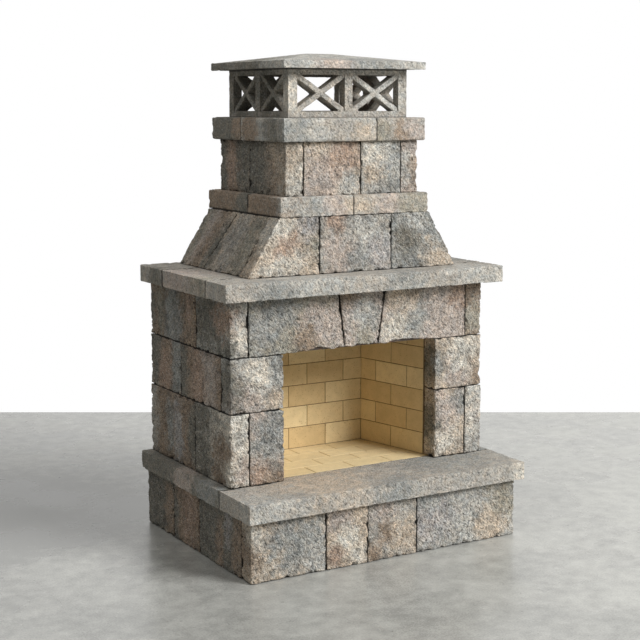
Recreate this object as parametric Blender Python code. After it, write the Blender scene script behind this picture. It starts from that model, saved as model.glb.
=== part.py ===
"""Outdoor masonry fireplace: a raised plinth and hearth, a block wall round a splayed
firebrick firebox, a mantel, a tapered hood, a chimney with two bands, a lattice vent
and a hipped cap.

Metres. X runs to the right along the front, Y runs back, Z is up. The origin is on the
ground, at the middle of the hearth slabs in plan.
"""
from math import sin, sqrt

import bmesh
import bpy
from mathutils import Vector, noise

# Fits between pieces
FIT = 0.0003
FLUE_CLEARANCE = 0.006
OVERRUN = 0.02

# Plinth, the raised base
PLINTH_HEIGHT = 0.306
PLINTH_SIDE_SETBACK = 0.032
PLINTH_FRONT_SETBACK = 0.047
PLINTH_REAR_SETBACK = 0.011
PLINTH_FRONT_JOINT_SHARES = (0.264, 0.417, 0.604)
PLINTH_SIDE_JOINT_SHARES = (0.417, 0.696)
PLINTH_REAR_JOINT_SHARES = (0.34, 0.67)

# Hearth slabs
HEARTH_WIDTH = 1.626
HEARTH_DEPTH = 1.249
HEARTH_THICKNESS = 0.091
HEARTH_LEDGE = 0.313
THRESHOLD_DEPTH = 0.065
HEARTH_SIDE_JOINT = 0.004

# Wall courses
WALL_WIDTH = 1.494
BLOCK_THICKNESS = 0.100
LOWER_COURSE_HEIGHT = 0.366
MIDDLE_COURSE_HEIGHT = 0.273
UPPER_COURSE_HEIGHT = 0.288
OPENING_WIDTH = 0.904
LOWER_SIDE_JOINT_SHARE = 0.419
MIDDLE_SIDE_JOINT_SHARE = 0.549
UPPER_SIDE_JOINT_SHARE = 0.405
REAR_JOINT_SHARES = ((0.31, 0.66), (0.17, 0.5, 0.83), (0.34, 0.69))

# Keystone and the steel bar let into the lintel stones
KEYSTONE_BOTTOM_WIDTH = 0.197
KEYSTONE_TOP_WIDTH = 0.282
BAR_WIDTH = 0.075
BAR_THICKNESS = 0.010
BAR_BEARING = 0.120

# Mantel slabs
MANTEL_THICKNESS = 0.086
MANTEL_SIDE_OVERHANG = 0.071
MANTEL_FRONT_OVERHANG = 0.096
MANTEL_REAR_SETBACK = 0.036
MANTEL_FRONT_SLAB_DEPTH = 0.218

# The stack above the mantel shares one centre line
STACK_CENTRE_FROM_WALL = 0.450
HOOD_BASE_WIDTH = 1.216
HOOD_TOP_WIDTH = 0.892
HOOD_HEIGHT = 0.290
HOOD_DEPTH = 0.788
HOOD_FRONT_JOINT_SHARES = (0.258, 0.738)
HOOD_SIDE_JOINT_BASE_SHARE = 0.59
HOOD_SIDE_JOINT_TOP_SHARE = 0.50
HOOD_REAR_JOINT_SHARES = (0.36, 0.66)
BAND_WIDTH = 0.870
BAND_DEPTH = 0.788
BAND_THICKNESS = 0.096
BAND_FRONT_JOINT_SHARE = 0.480
BAND_SIDE_JOINT_SHARE = 0.438
CHIMNEY_WIDTH = 0.774
CHIMNEY_DEPTH = 0.716
CHIMNEY_HEIGHT = 0.274
CHIMNEY_FRONT_JOINT_SHARE = 0.582
CHIMNEY_SIDE_JOINT_SHARE = 0.522
CHIMNEY_REAR_JOINT_SHARE = 0.45
CROWN_WIDTH = 0.830
CROWN_DEPTH = 0.780
CROWN_THICKNESS = 0.110
CROWN_FRONT_JOINT_SHARE = 0.646
CROWN_SIDE_JOINT_SHARE = 0.578

# Lattice vent and cap
VENT_WIDTH = 0.698
VENT_DEPTH = 0.636
VENT_HEIGHT = 0.246
VENT_WALL = 0.072
CORNER_POST_WIDTH = 0.050
CENTRE_POST_WIDTH = 0.046
TOP_RAIL_HEIGHT = 0.030
BOTTOM_RAIL_HEIGHT = 0.035
LATTICE_BAR_WIDTH = 0.028
LATTICE_RECESS = 0.006
LATTICE_TENON = 0.012
VENT_CHAMFER = 0.004
CAP_WIDTH = 0.826
CAP_DEPTH = 0.790
CAP_EDGE = 0.038
CAP_RISE = 0.046
CAP_RIDGE_WIDTH = 0.150
CAP_RIDGE_DEPTH = 0.060

# Firebox bricks
BRICK_LENGTH = 0.2305
BRICK_THICKNESS = 0.0635
BRICK_COURSE = 0.1155
BRICK_COURSES = 6
BRICK_JOINT = 0.004
BRICK_JOINT_DEPTH = 0.003
FIREBOX_DEPTH = 0.454
FIREBOX_SPLAY = 0.106
FLOOR_ROWS = 4

# Smoke chamber and flue
CHAMBER_FRONT_WALL = 0.050
CHAMBER_HEIGHT = 0.380
FLUE_SIZE = 0.330
FLUE_WALL = 0.025

# Worn arrises and split faces
BLOCK_ROUNDING = 0.011
SLAB_ROUNDING = 0.006
ROUGH_DEPTH = 0.007
ROUGH_WAVELENGTH = 0.16
ROUGH_MEAN_SHARE = 0.5
GROOVE_SIZE = 0.010
BEVEL_SEGMENTS = 2
FLAT_ANGLE = 0.002

# Levels worked out from the sizes above
HEARTH_BASE = PLINTH_HEIGHT
WALL_BASE = HEARTH_BASE + HEARTH_THICKNESS
MIDDLE_BASE = WALL_BASE + LOWER_COURSE_HEIGHT
UPPER_BASE = MIDDLE_BASE + MIDDLE_COURSE_HEIGHT
MANTEL_BASE = UPPER_BASE + UPPER_COURSE_HEIGHT
HOOD_BASE = MANTEL_BASE + MANTEL_THICKNESS
BAND_BASE = HOOD_BASE + HOOD_HEIGHT
CHIMNEY_BASE = BAND_BASE + BAND_THICKNESS
CROWN_BASE = CHIMNEY_BASE + CHIMNEY_HEIGHT
VENT_BASE = CROWN_BASE + CROWN_THICKNESS
CAP_BASE = VENT_BASE + VENT_HEIGHT
CHAMBER_BASE = WALL_BASE + BRICK_COURSES * BRICK_COURSE
FLUE_BASE = CHAMBER_BASE + CHAMBER_HEIGHT

# Places in plan worked out from the sizes above
HEARTH_FRONT = -HEARTH_DEPTH / 2
HEARTH_REAR = HEARTH_DEPTH / 2
WALL_FRONT = HEARTH_FRONT + HEARTH_LEDGE
WALL_REAR = HEARTH_REAR
WALL_HALF = WALL_WIDTH / 2
WALL_INNER_HALF = WALL_HALF - BLOCK_THICKNESS
BLOCK_BACK = WALL_FRONT + BLOCK_THICKNESS
OPENING_HALF = OPENING_WIDTH / 2
STACK_Y = WALL_FRONT + STACK_CENTRE_FROM_WALL
BRICK_SKEW = BRICK_THICKNESS * sqrt(1 + (FIREBOX_SPLAY / FIREBOX_DEPTH) ** 2)
FIREBOX_FRONT_HALF = OPENING_HALF - BRICK_JOINT_DEPTH
FIREBOX_REAR_HALF = FIREBOX_FRONT_HALF - FIREBOX_SPLAY
FIREBOX_FRONT = BLOCK_BACK
FIREBOX_REAR = FIREBOX_FRONT + FIREBOX_DEPTH
FIREBOX_OUTER_HALF = FIREBOX_FRONT_HALF + BRICK_SKEW
FIREBOX_OUTER_REAR = FIREBOX_REAR + BRICK_THICKNESS
MANTEL_HALF = WALL_HALF + MANTEL_SIDE_OVERHANG
MANTEL_FRONT = WALL_FRONT - MANTEL_FRONT_OVERHANG
MANTEL_REAR = WALL_REAR - MANTEL_REAR_SETBACK
MANTEL_FIRST_JOINT = MANTEL_FRONT + MANTEL_FRONT_SLAB_DEPTH
MANTEL_SECOND_JOINT = FIREBOX_OUTER_REAR + FLUE_CLEARANCE

OUT_RIGHT = Vector((1, 0, 0))
OUT_REAR = Vector((0, 1, 0))

COLOURS = {
    "block_stone": ((0.30, 0.26, 0.22), 0.92, 0.0),
    "slab_stone": ((0.33, 0.31, 0.28), 0.88, 0.0),
    "vent_stone": ((0.34, 0.33, 0.30), 0.90, 0.0),
    "firebrick": ((0.66, 0.52, 0.30), 0.90, 0.0),
    "core_concrete": ((0.35, 0.35, 0.34), 0.90, 0.0),
    "steel": ((0.12, 0.11, 0.10), 0.55, 1.0),
    "flue_clay": ((0.42, 0.20, 0.12), 0.80, 0.0),
}


def clear_scene():
    for thing in list(bpy.data.objects):
        bpy.data.objects.remove(thing, do_unlink=True)


def material(slot):
    found = bpy.data.materials.get(slot)
    if found:
        return found
    colour, roughness, metallic = COLOURS[slot]
    made = bpy.data.materials.new(slot)
    made.use_nodes = True
    shader = made.node_tree.nodes["Principled BSDF"]
    shader.inputs["Base Color"].default_value = (*colour, 1.0)
    shader.inputs["Roughness"].default_value = roughness
    shader.inputs["Metallic"].default_value = metallic
    return made


def add_object(name, mesh, slot):
    made = bpy.data.objects.new(name, mesh)
    bpy.context.collection.objects.link(made)
    mesh.materials.append(material(slot))
    return made


def mesh_from(name, bm):
    bmesh.ops.recalc_face_normals(bm, faces=bm.faces)
    mesh = bpy.data.meshes.new(name)
    bm.to_mesh(mesh)
    bm.free()
    return mesh


# Shape helpers


def box_corners(x, y, z):
    """Eight corners, bottom ring then top ring, set back for the fit at the joints."""
    x0, x1 = x[0] + FIT / 2, x[1] - FIT / 2
    y0, y1 = y[0] + FIT / 2, y[1] - FIT / 2
    ring = ((x0, y0), (x1, y0), (x1, y1), (x0, y1))
    return [Vector((px, py, pz)) for pz in (z[0], z[1] - FIT) for px, py in ring]


def blend_corners(corners, u, v, w):
    """The point at shares u, v and w of the way across, back and up a six-sided solid."""
    rings = []
    for ring in (corners[:4], corners[4:]):
        front = ring[0].lerp(ring[1], u)
        rear = ring[3].lerp(ring[2], u)
        rings.append(front.lerp(rear, v))
    return rings[0].lerp(rings[1], w)


def spans(corners):
    """Mean length of the solid across, back and up."""
    a, b, c, d, e, f, g, h = corners
    return (
        ((b - a).length + (c - d).length + (f - e).length + (g - h).length) / 4,
        ((d - a).length + (c - b).length + (h - e).length + (g - f).length) / 4,
        ((e - a).length + (f - b).length + (g - c).length + (h - d).length) / 4,
    )


def face_inward(corners, face):
    """Unit vector that points into the solid from one of its named faces."""
    a, b, c, d, e, f = corners[:6]
    across, back, up = b - a, d - a, e - a
    normals = {
        "front": across.cross(up) * -1,
        "rear": across.cross(up),
        "left": up.cross(back) * -1,
        "right": (f - b).cross(c - b),
    }
    return normals[face].normalized()


FACE_TESTS = {
    "left": lambda i, j, last: i == 0,
    "right": lambda i, j, last: i == last,
    "front": lambda i, j, last: j == 0,
    "rear": lambda i, j, last: j == last,
}


def tumbled_block(name, corners, rough_faces, slot="block_stone"):
    """A block with rounded arrises whose showing faces are split unevenly, never outwards."""
    shift = Vector((len(bpy.data.objects), 0, 0))
    stations = []
    for span in spans(corners):
        edge_share = BLOCK_ROUNDING / span
        stations.append((0, edge_share, 0.5, 1 - edge_share, 1))
    last = len(stations[0]) - 1
    inward = {face: face_inward(corners, face) for face in rough_faces}
    bm = bmesh.new()
    points = {}
    steps = range(last + 1)
    for i in steps:
        for j in steps:
            for k in steps:
                ends = [n in (0, last) for n in (i, j, k)]
                if not any(ends):
                    continue
                pull = 1 - 1 / sqrt(sum(ends))
                shares = []
                for station, index in zip(stations, (i, j, k)):
                    share = station[index]
                    if index == 0:
                        share += pull * station[1]
                    if index == last:
                        share -= pull * station[1]
                    shares.append(share)
                point = blend_corners(corners, *shares)
                wave = noise.noise(point / ROUGH_WAVELENGTH + shift)
                depth = ROUGH_DEPTH * min(1, max(0, ROUGH_MEAN_SHARE + wave))
                for face in rough_faces:
                    if FACE_TESTS[face](i, j, last):
                        point = point + inward[face] * depth
                points[i, j, k] = bm.verts.new(point)
    for a in range(last):
        for b in range(last):
            for end in (0, last):
                for order in ((0, 1, 2), (1, 2, 0), (2, 0, 1)):
                    ring = []
                    for da, db in ((0, 0), (1, 0), (1, 1), (0, 1)):
                        key = [0, 0, 0]
                        key[order[0]] = a + da
                        key[order[1]] = b + db
                        key[order[2]] = end
                        ring.append(points[tuple(key)])
                    bm.faces.new(ring)
    bmesh.ops.dissolve_limit(bm, angle_limit=FLAT_ANGLE, verts=bm.verts, edges=bm.edges)
    return add_object(name, mesh_from(name, bm), slot)


def prism(name, outline, axis, start, end, slot):
    """A closed outline in the plane across an axis, extruded along it."""
    bm = bmesh.new()
    ring = []
    for first, second in outline:
        place = {"x": (start, first, second), "y": (first, start, second)}
        ring.append(bm.verts.new(place.get(axis, (first, second, start))))
    face = bm.faces.new(ring)
    step = {"x": (end - start, 0, 0), "y": (0, end - start, 0)}
    grown = bmesh.ops.extrude_face_region(bm, geom=[face])
    moved = [v for v in grown["geom"] if isinstance(v, bmesh.types.BMVert)]
    bmesh.ops.translate(bm, vec=step.get(axis, (0, 0, end - start)), verts=moved)
    return add_object(name, mesh_from(name, bm), slot)


def solid(name, corners, slot):
    """A plain six-sided solid from its eight corners."""
    bm = bmesh.new()
    v = [bm.verts.new(corner) for corner in corners]
    for n in range(4):
        after = (n + 1) % 4
        bm.faces.new((v[n], v[after], v[after + 4], v[n + 4]))
    bm.faces.new(v[:4])
    bm.faces.new(v[4:])
    return add_object(name, mesh_from(name, bm), slot)


def round_edges(thing, width, segments=BEVEL_SEGMENTS):
    bevel = thing.modifiers.new("worn arris", "BEVEL")
    bevel.width = width
    bevel.segments = segments
    bevel.limit_method = "ANGLE"
    bevel.use_clamp_overlap = True
    return thing


def combine(target, other, operation):
    """Cut another shape out of the target, or join it to the target."""
    other.hide_render = True
    other.display_type = "WIRE"
    boolean = target.modifiers.new(other.name, "BOOLEAN")
    boolean.operation = operation
    boolean.solver = "EXACT"
    boolean.object = other
    return target


def groove(target, start, end, across):
    """A V joint cut along a line on the target's face; across is the way the face looks."""
    line = (end - start).normalized()
    side = line.cross(across).normalized() * GROOVE_SIZE
    depth = across.normalized() * GROOVE_SIZE
    a, b = start - line * OVERRUN, end + line * OVERRUN
    offsets = (side * -1, depth * -1, side, depth)
    corners = [a + offset for offset in offsets] + [b + offset for offset in offsets]
    cutter = solid(target.name + "_joint", corners, "block_stone")
    return combine(target, cutter, "DIFFERENCE")


def slab(name, x, y, z, slot="slab_stone"):
    return round_edges(solid(name, box_corners(x, y, z), slot), SLAB_ROUNDING)


def between(start, end, share):
    return start + (end - start) * share


def rows_of(start, end, shares):
    """Neighbouring stretches of a line that is cut at some shares of its length."""
    cuts = [start] + [between(start, end, share) for share in shares] + [end]
    return list(zip(cuts[:-1], cuts[1:]))


# Plinth


def make_plinth():
    half = HEARTH_WIDTH / 2 - PLINTH_SIDE_SETBACK
    front = HEARTH_FRONT + PLINTH_FRONT_SETBACK
    rear = HEARTH_REAR - PLINTH_REAR_SETBACK
    inner = half - BLOCK_THICKNESS
    back_of_front = front + BLOCK_THICKNESS
    level = (0, PLINTH_HEIGHT)
    stretches = rows_of(-half, half, PLINTH_FRONT_JOINT_SHARES)
    for number, stretch in enumerate(stretches, 1):
        faces = ["front"]
        if number == 1:
            faces.append("left")
        if number == len(stretches):
            faces.append("right")
        corners = box_corners(stretch, (front, back_of_front), level)
        tumbled_block(f"plinth_front_block_{number}", corners, faces)
    stretches = rows_of(back_of_front, rear, PLINTH_SIDE_JOINT_SHARES)
    for number, stretch in enumerate(stretches, 1):
        corners = box_corners((-half, -inner), stretch, level)
        tumbled_block(f"plinth_left_block_{number}", corners, ["left"])
    corners = box_corners((inner, half), (back_of_front, rear), level)
    right = round_edges(solid("plinth_right_blocks", corners, "block_stone"), BLOCK_ROUNDING)
    for first, joint in stretches[:-1]:
        groove(right, Vector((half, joint, 0)), Vector((half, joint, PLINTH_HEIGHT)), OUT_RIGHT)
    inside_rear = rear - BLOCK_THICKNESS
    corners = box_corners((-inner, inner), (inside_rear, rear), level)
    back = round_edges(solid("plinth_rear_blocks", corners, "block_stone"), BLOCK_ROUNDING)
    for first, joint in rows_of(-inner, inner, PLINTH_REAR_JOINT_SHARES)[:-1]:
        groove(back, Vector((joint, rear, 0)), Vector((joint, rear, PLINTH_HEIGHT)), OUT_REAR)
    corners = box_corners((-inner, inner), (back_of_front, inside_rear), level)
    solid("plinth_core", corners, "core_concrete")


# Hearth


def make_hearth():
    half = HEARTH_WIDTH / 2
    side_joint = WALL_FRONT + HEARTH_SIDE_JOINT
    threshold = WALL_FRONT + THRESHOLD_DEPTH
    gap = FIT / 2
    outline = [
        (-half + gap, HEARTH_FRONT + gap),
        (half - gap, HEARTH_FRONT + gap),
        (half - gap, side_joint - gap),
        (FIREBOX_OUTER_HALF - gap, side_joint - gap),
        (FIREBOX_OUTER_HALF - gap, threshold - gap),
        (-FIREBOX_OUTER_HALF + gap, threshold - gap),
        (-FIREBOX_OUTER_HALF + gap, side_joint - gap),
        (-half + gap, side_joint - gap),
    ]
    front = prism("hearth_front_slab", outline, "z", HEARTH_BASE, WALL_BASE - FIT, "slab_stone")
    round_edges(front, SLAB_ROUNDING)
    level = (HEARTH_BASE, WALL_BASE)
    slab("hearth_left_slab", (-half, -FIREBOX_OUTER_HALF), (side_joint, HEARTH_REAR), level)
    slab("hearth_right_slab", (FIREBOX_OUTER_HALF, half), (side_joint, HEARTH_REAR), level)
    across = (-FIREBOX_OUTER_HALF, FIREBOX_OUTER_HALF)
    slab("hearth_rear_slab", across, (FIREBOX_OUTER_REAR, HEARTH_REAR), level)


# Walls


def make_left_side(name, start, share, level):
    """Two blocks along the left side; the first shows its end too if it starts at the wall's face."""
    joint = between(start, WALL_REAR, share)
    across = (-WALL_HALF, -WALL_INNER_HALF)
    faces = ["left", "front"] if start == WALL_FRONT else ["left"]
    corners = box_corners(across, (start, joint), level)
    tumbled_block(f"{name}_left_side_front_block", corners, faces)
    corners = box_corners(across, (joint, WALL_REAR), level)
    tumbled_block(f"{name}_left_side_rear_block", corners, ["left", "rear"])


def make_piers():
    front = (WALL_FRONT, BLOCK_BACK)
    low = (WALL_BASE, MIDDLE_BASE)
    middle = (MIDDLE_BASE, UPPER_BASE)
    left = (-WALL_INNER_HALF, -OPENING_HALF)
    right = (OPENING_HALF, WALL_INNER_HALF)
    tumbled_block("lower_left_pier_block", box_corners(left, front, low), ["front"])
    tumbled_block("lower_right_pier_block", box_corners(right, front, low), ["front"])
    left = (-WALL_HALF, -OPENING_HALF)
    right = (OPENING_HALF, WALL_HALF)
    tumbled_block("middle_left_pier_block", box_corners(left, front, middle), ["front", "left"])
    tumbled_block("middle_right_pier_block", box_corners(right, front, middle), ["front", "right"])


def bar_recess():
    """The rebate along the lower back edge of the lintel stones that takes the steel bar."""
    half = OPENING_HALF + BAR_BEARING + FIT
    y = (BLOCK_BACK - BAR_WIDTH - FIT, BLOCK_BACK + OVERRUN)
    z = (UPPER_BASE - OVERRUN, UPPER_BASE + BAR_THICKNESS + FIT)
    return solid("bar_recess", box_corners((-half, half), y, z), "steel")


def make_lintel():
    """Three stones in a flat arch: the keystone's sides lean outwards going up."""
    low, high = KEYSTONE_BOTTOM_WIDTH / 2, KEYSTONE_TOP_WIDTH / 2
    front, back = WALL_FRONT + FIT / 2, BLOCK_BACK - FIT / 2
    recess = bar_recess()
    end = WALL_INNER_HALF
    shapes = {
        "lintel_left_stone": (-end, -low, -end, -high),
        "keystone": (-low, low, -high, high),
        "lintel_right_stone": (low, end, high, end),
    }
    for name, (base_left, base_right, top_left, top_right) in shapes.items():
        corners = []
        ends = ((UPPER_BASE, base_left, base_right), (MANTEL_BASE - FIT, top_left, top_right))
        for level, x0, x1 in ends:
            for x, y in ((x0 + FIT, front), (x1 - FIT, front), (x1 - FIT, back), (x0 + FIT, back)):
                corners.append(Vector((x, y, level)))
        combine(tumbled_block(name, corners, ["front"]), recess, "DIFFERENCE")
    half = OPENING_HALF + BAR_BEARING
    y = (BLOCK_BACK - BAR_WIDTH, BLOCK_BACK)
    z = (UPPER_BASE, UPPER_BASE + BAR_THICKNESS)
    solid("lintel_bar", box_corners((-half, half), y, z), "steel")


def make_right_wall():
    """The three courses of the right side as one masonry solid, with its joints cut in."""
    gap = FIT / 2
    front, rear = WALL_FRONT + gap, WALL_REAR - gap
    step = BLOCK_BACK + gap
    outline = [
        (front, WALL_BASE),
        (rear, WALL_BASE),
        (rear, MANTEL_BASE - FIT),
        (front, MANTEL_BASE - FIT),
        (front, UPPER_BASE + gap),
        (step, UPPER_BASE + gap),
        (step, MIDDLE_BASE - gap),
        (front, MIDDLE_BASE - gap),
    ]
    inner, outer = WALL_INNER_HALF + gap, WALL_HALF - gap
    wall = prism("wall_right_blocks", outline, "x", inner, outer, "block_stone")
    round_edges(wall, BLOCK_ROUNDING)
    for level in (MIDDLE_BASE, UPPER_BASE):
        start, end = Vector((WALL_HALF, BLOCK_BACK, level)), Vector((WALL_HALF, WALL_REAR, level))
        groove(wall, start, end, OUT_RIGHT)
    joints = (
        (between(WALL_FRONT, WALL_REAR, LOWER_SIDE_JOINT_SHARE), WALL_BASE, MIDDLE_BASE),
        (between(BLOCK_BACK, WALL_REAR, MIDDLE_SIDE_JOINT_SHARE), MIDDLE_BASE, UPPER_BASE),
        (between(WALL_FRONT, WALL_REAR, UPPER_SIDE_JOINT_SHARE), UPPER_BASE, MANTEL_BASE),
    )
    for y, low, high in joints:
        start, end = Vector((WALL_HALF, y, low + OVERRUN)), Vector((WALL_HALF, y, high - OVERRUN))
        groove(wall, start, end, OUT_RIGHT)


def make_rear_wall():
    """The three courses of the back as one masonry solid between the side walls."""
    x = (-WALL_INNER_HALF, WALL_INNER_HALF)
    y = (WALL_REAR - BLOCK_THICKNESS, WALL_REAR)
    wall = solid("wall_rear_blocks", box_corners(x, y, (WALL_BASE, MANTEL_BASE)), "block_stone")
    round_edges(wall, BLOCK_ROUNDING)
    levels = (WALL_BASE, MIDDLE_BASE, UPPER_BASE, MANTEL_BASE)
    for level in levels[1:-1]:
        groove(wall, Vector((x[0], WALL_REAR, level)), Vector((x[1], WALL_REAR, level)), OUT_REAR)
    for low, high, shares in zip(levels[:-1], levels[1:], REAR_JOINT_SHARES):
        for share in shares:
            place = between(x[0], x[1], share)
            start = Vector((place, WALL_REAR, low + OVERRUN))
            end = Vector((place, WALL_REAR, high - OVERRUN))
            groove(wall, start, end, OUT_REAR)


def make_walls():
    make_piers()
    make_left_side("lower", WALL_FRONT, LOWER_SIDE_JOINT_SHARE, (WALL_BASE, MIDDLE_BASE))
    make_left_side("middle", BLOCK_BACK, MIDDLE_SIDE_JOINT_SHARE, (MIDDLE_BASE, UPPER_BASE))
    make_left_side("upper", WALL_FRONT, UPPER_SIDE_JOINT_SHARE, (UPPER_BASE, MANTEL_BASE))
    make_lintel()
    make_right_wall()
    make_rear_wall()


# Firebox


def course_joints(length, first):
    """Where the joints between the bricks of one course fall, a brick's length apart."""
    cuts = []
    place = first
    while place < length - BRICK_JOINT:
        if place > BRICK_JOINT:
            cuts.append(place)
        place += BRICK_LENGTH
    return cuts


def brick_panel(name, origin, along, up, depth, size, bonds, row_height):
    """Bricks in running bond that stand a little proud of their mortar.

    origin, along, up and depth are vectors: along and up are units on the showing face,
    depth goes from that face to the back. size is the panel's length and height.
    bonds gives, row by row, where the first cut of the row falls.
    """
    length, height = size
    half = BRICK_JOINT / 2
    rows = []
    level = 0
    while level < height - half:
        rows.append((level, min(height, level + row_height)))
        level += row_height
    cuts = [course_joints(length, bonds[n % len(bonds)]) for n in range(len(rows))]
    xs = {0, length}
    for row_cuts in cuts:
        for cut in row_cuts:
            xs.update((cut - half, cut + half))
    xs = sorted(xs)
    zs = {0, height}
    for low, high in rows[:-1]:
        zs.update((high - half, high + half))
    zs = sorted(zs)
    bm = bmesh.new()
    inset = depth.normalized() * BRICK_JOINT_DEPTH
    grid = [[bm.verts.new(origin + inset + along * x + up * z) for x in xs] for z in zs]
    bricks = []
    for k in range(len(zs) - 1):
        middle_z = (zs[k] + zs[k + 1]) / 2
        row = min(len(rows) - 1, int(middle_z / row_height))
        in_bed = any(abs(middle_z - high) < half for low, high in rows[:-1])
        for i in range(len(xs) - 1):
            middle_x = (xs[i] + xs[i + 1]) / 2
            face = bm.faces.new((grid[k][i], grid[k][i + 1], grid[k + 1][i + 1], grid[k + 1][i]))
            in_joint = any(abs(middle_x - cut) < half for cut in cuts[row])
            if not in_bed and not in_joint:
                bricks.append(face)
    rear = depth - inset
    ends = (grid[0][0], grid[0][-1], grid[-1][-1], grid[-1][0])
    a, b, c, d = (bm.verts.new(v.co + rear) for v in ends)
    bm.faces.new((a, d, c, b))
    bm.faces.new([*grid[0], b, a])
    bm.faces.new([*(row[-1] for row in grid), c, b])
    bm.faces.new([*grid[-1], c, d])
    bm.faces.new([*(row[0] for row in grid), d, a])
    raised = bmesh.ops.extrude_face_region(bm, geom=bricks)
    proud = [v for v in raised["geom"] if isinstance(v, bmesh.types.BMVert)]
    bmesh.ops.translate(bm, vec=inset * -1, verts=proud)
    covered = [face for face in bricks if face.is_valid]
    bmesh.ops.delete(bm, geom=covered, context="FACES")
    flat = {f for f in raised["geom"] if isinstance(f, bmesh.types.BMFace)}
    inside = [e for e in bm.edges if len(e.link_faces) == 2 and flat.issuperset(e.link_faces)]
    bmesh.ops.dissolve_limit(bm, angle_limit=FLAT_ANGLE, verts=[], edges=inside)
    return add_object(name, mesh_from(name, bm), "firebrick")


def make_firebox():
    gap = FIT / 2
    height = BRICK_COURSES * BRICK_COURSE - FIT
    up = Vector((0, 0, 1))
    run = Vector((FIREBOX_SPLAY, FIREBOX_DEPTH - FIT, 0))
    full, half = BRICK_LENGTH, BRICK_LENGTH / 2
    for name, side in (("firebox_left_wall", -1), ("firebox_right_wall", 1)):
        rear_corner = Vector((side * FIREBOX_REAR_HALF, FIREBOX_REAR - gap, WALL_BASE))
        along = Vector((side * run.x, -run.y, 0)).normalized()
        depth = Vector((side * BRICK_SKEW, 0, 0))
        size = (run.length, height)
        brick_panel(name, rear_corner, along, up, depth, size, (full, half), BRICK_COURSE)
    width = 2 * (FIREBOX_REAR_HALF + BRICK_SKEW)
    corner = Vector((-width / 2, FIREBOX_REAR + gap, WALL_BASE))
    middle = width / 2 - half
    bonds = (middle % full, (middle + half) % full)
    depth = OUT_REAR * BRICK_THICKNESS
    brick_panel("firebox_back_wall", corner, OUT_RIGHT, up, depth, (width, height), bonds, BRICK_COURSE)
    front = WALL_FRONT + THRESHOLD_DEPTH + gap
    half_floor = FIREBOX_OUTER_HALF - gap
    deep = FIREBOX_OUTER_REAR - gap - front
    corner = Vector((-half_floor, front, WALL_BASE - FIT))
    bonds = (half_floor % full, (half_floor + half) % full)
    depth = Vector((0, 0, FIT - HEARTH_THICKNESS))
    rows = (FIREBOX_REAR - front) / FLOOR_ROWS
    brick_panel("firebox_floor", corner, OUT_RIGHT, OUT_REAR, depth, (2 * half_floor, deep), bonds, rows)


# Smoke chamber and flue


def tapered_tube(name, base_outer, base_inner, top_outer, top_inner, slot):
    """A hollow four-sided funnel or tube from its four rings of corners."""
    bm = bmesh.new()
    order = (base_outer, top_outer, top_inner, base_inner)
    rings = [[bm.verts.new(point) for point in ring] for ring in order]
    for n in range(4):
        after = (n + 1) % 4
        for first, second in zip(rings, rings[1:] + rings[:1]):
            bm.faces.new((first[n], first[after], second[after], second[n]))
    return add_object(name, mesh_from(name, bm), slot)


def square_ring(half, centre_y, level):
    ring = ((-half, -half), (half, -half), (half, half), (-half, half))
    return [Vector((x, centre_y + y, level)) for x, y in ring]


def flue_centre():
    """The flue stands over the back of the firebox, so the chamber's back is upright."""
    return FIREBOX_OUTER_REAR - FLUE_SIZE / 2


def make_smoke_chamber():
    front = FIREBOX_FRONT + FIT
    rear_outer_half = FIREBOX_REAR_HALF + BRICK_SKEW
    outer = ((-FIREBOX_OUTER_HALF, front), (FIREBOX_OUTER_HALF, front))
    outer += ((rear_outer_half, FIREBOX_OUTER_REAR), (-rear_outer_half, FIREBOX_OUTER_REAR))
    inner_front = front + CHAMBER_FRONT_WALL
    share = CHAMBER_FRONT_WALL / FIREBOX_DEPTH
    inner_half = between(FIREBOX_FRONT_HALF, FIREBOX_REAR_HALF, share)
    inner = ((-inner_half, inner_front), (inner_half, inner_front))
    inner += ((FIREBOX_REAR_HALF, FIREBOX_REAR), (-FIREBOX_REAR_HALF, FIREBOX_REAR))
    top = FLUE_BASE - FIT
    tapered_tube(
        "smoke_chamber",
        [Vector((x, y, CHAMBER_BASE)) for x, y in outer],
        [Vector((x, y, CHAMBER_BASE)) for x, y in inner],
        square_ring(FLUE_SIZE / 2, flue_centre(), top),
        square_ring(FLUE_SIZE / 2 - FLUE_WALL, flue_centre(), top),
        "core_concrete",
    )


def make_flue():
    top = VENT_BASE - FIT
    outer, inner = FLUE_SIZE / 2, FLUE_SIZE / 2 - FLUE_WALL
    places = ((outer, FLUE_BASE), (inner, FLUE_BASE), (outer, top), (inner, top))
    rings = [square_ring(half, flue_centre(), level) for half, level in places]
    tapered_tube("flue_liner", *rings, "flue_clay")


# Mantel


def make_mantel():
    level = (MANTEL_BASE, HOOD_BASE)
    across = (-MANTEL_HALF, MANTEL_HALF)
    slab("mantel_front_slab", across, (MANTEL_FRONT, MANTEL_FIRST_JOINT), level)
    slab("mantel_rear_slab", across, (MANTEL_SECOND_JOINT, MANTEL_REAR), level)
    share = (MANTEL_BASE - CHAMBER_BASE) / CHAMBER_HEIGHT
    half = between(FIREBOX_OUTER_HALF, FLUE_SIZE / 2, share) + FLUE_CLEARANCE
    flue_front = flue_centre() - FLUE_SIZE / 2
    notch = between(FIREBOX_FRONT, flue_front, share) - FLUE_CLEARANCE
    gap = FIT / 2
    near, far = MANTEL_FIRST_JOINT + gap, MANTEL_SECOND_JOINT - gap
    outer = MANTEL_HALF - gap
    outline = [(-outer, near), (outer, near), (outer, far), (half, far)]
    outline += [(half, notch), (-half, notch), (-half, far), (-outer, far)]
    middle = prism("mantel_middle_slab", outline, "z", MANTEL_BASE, HOOD_BASE - FIT, "slab_stone")
    round_edges(middle, SLAB_ROUNDING)


# Hood


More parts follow.
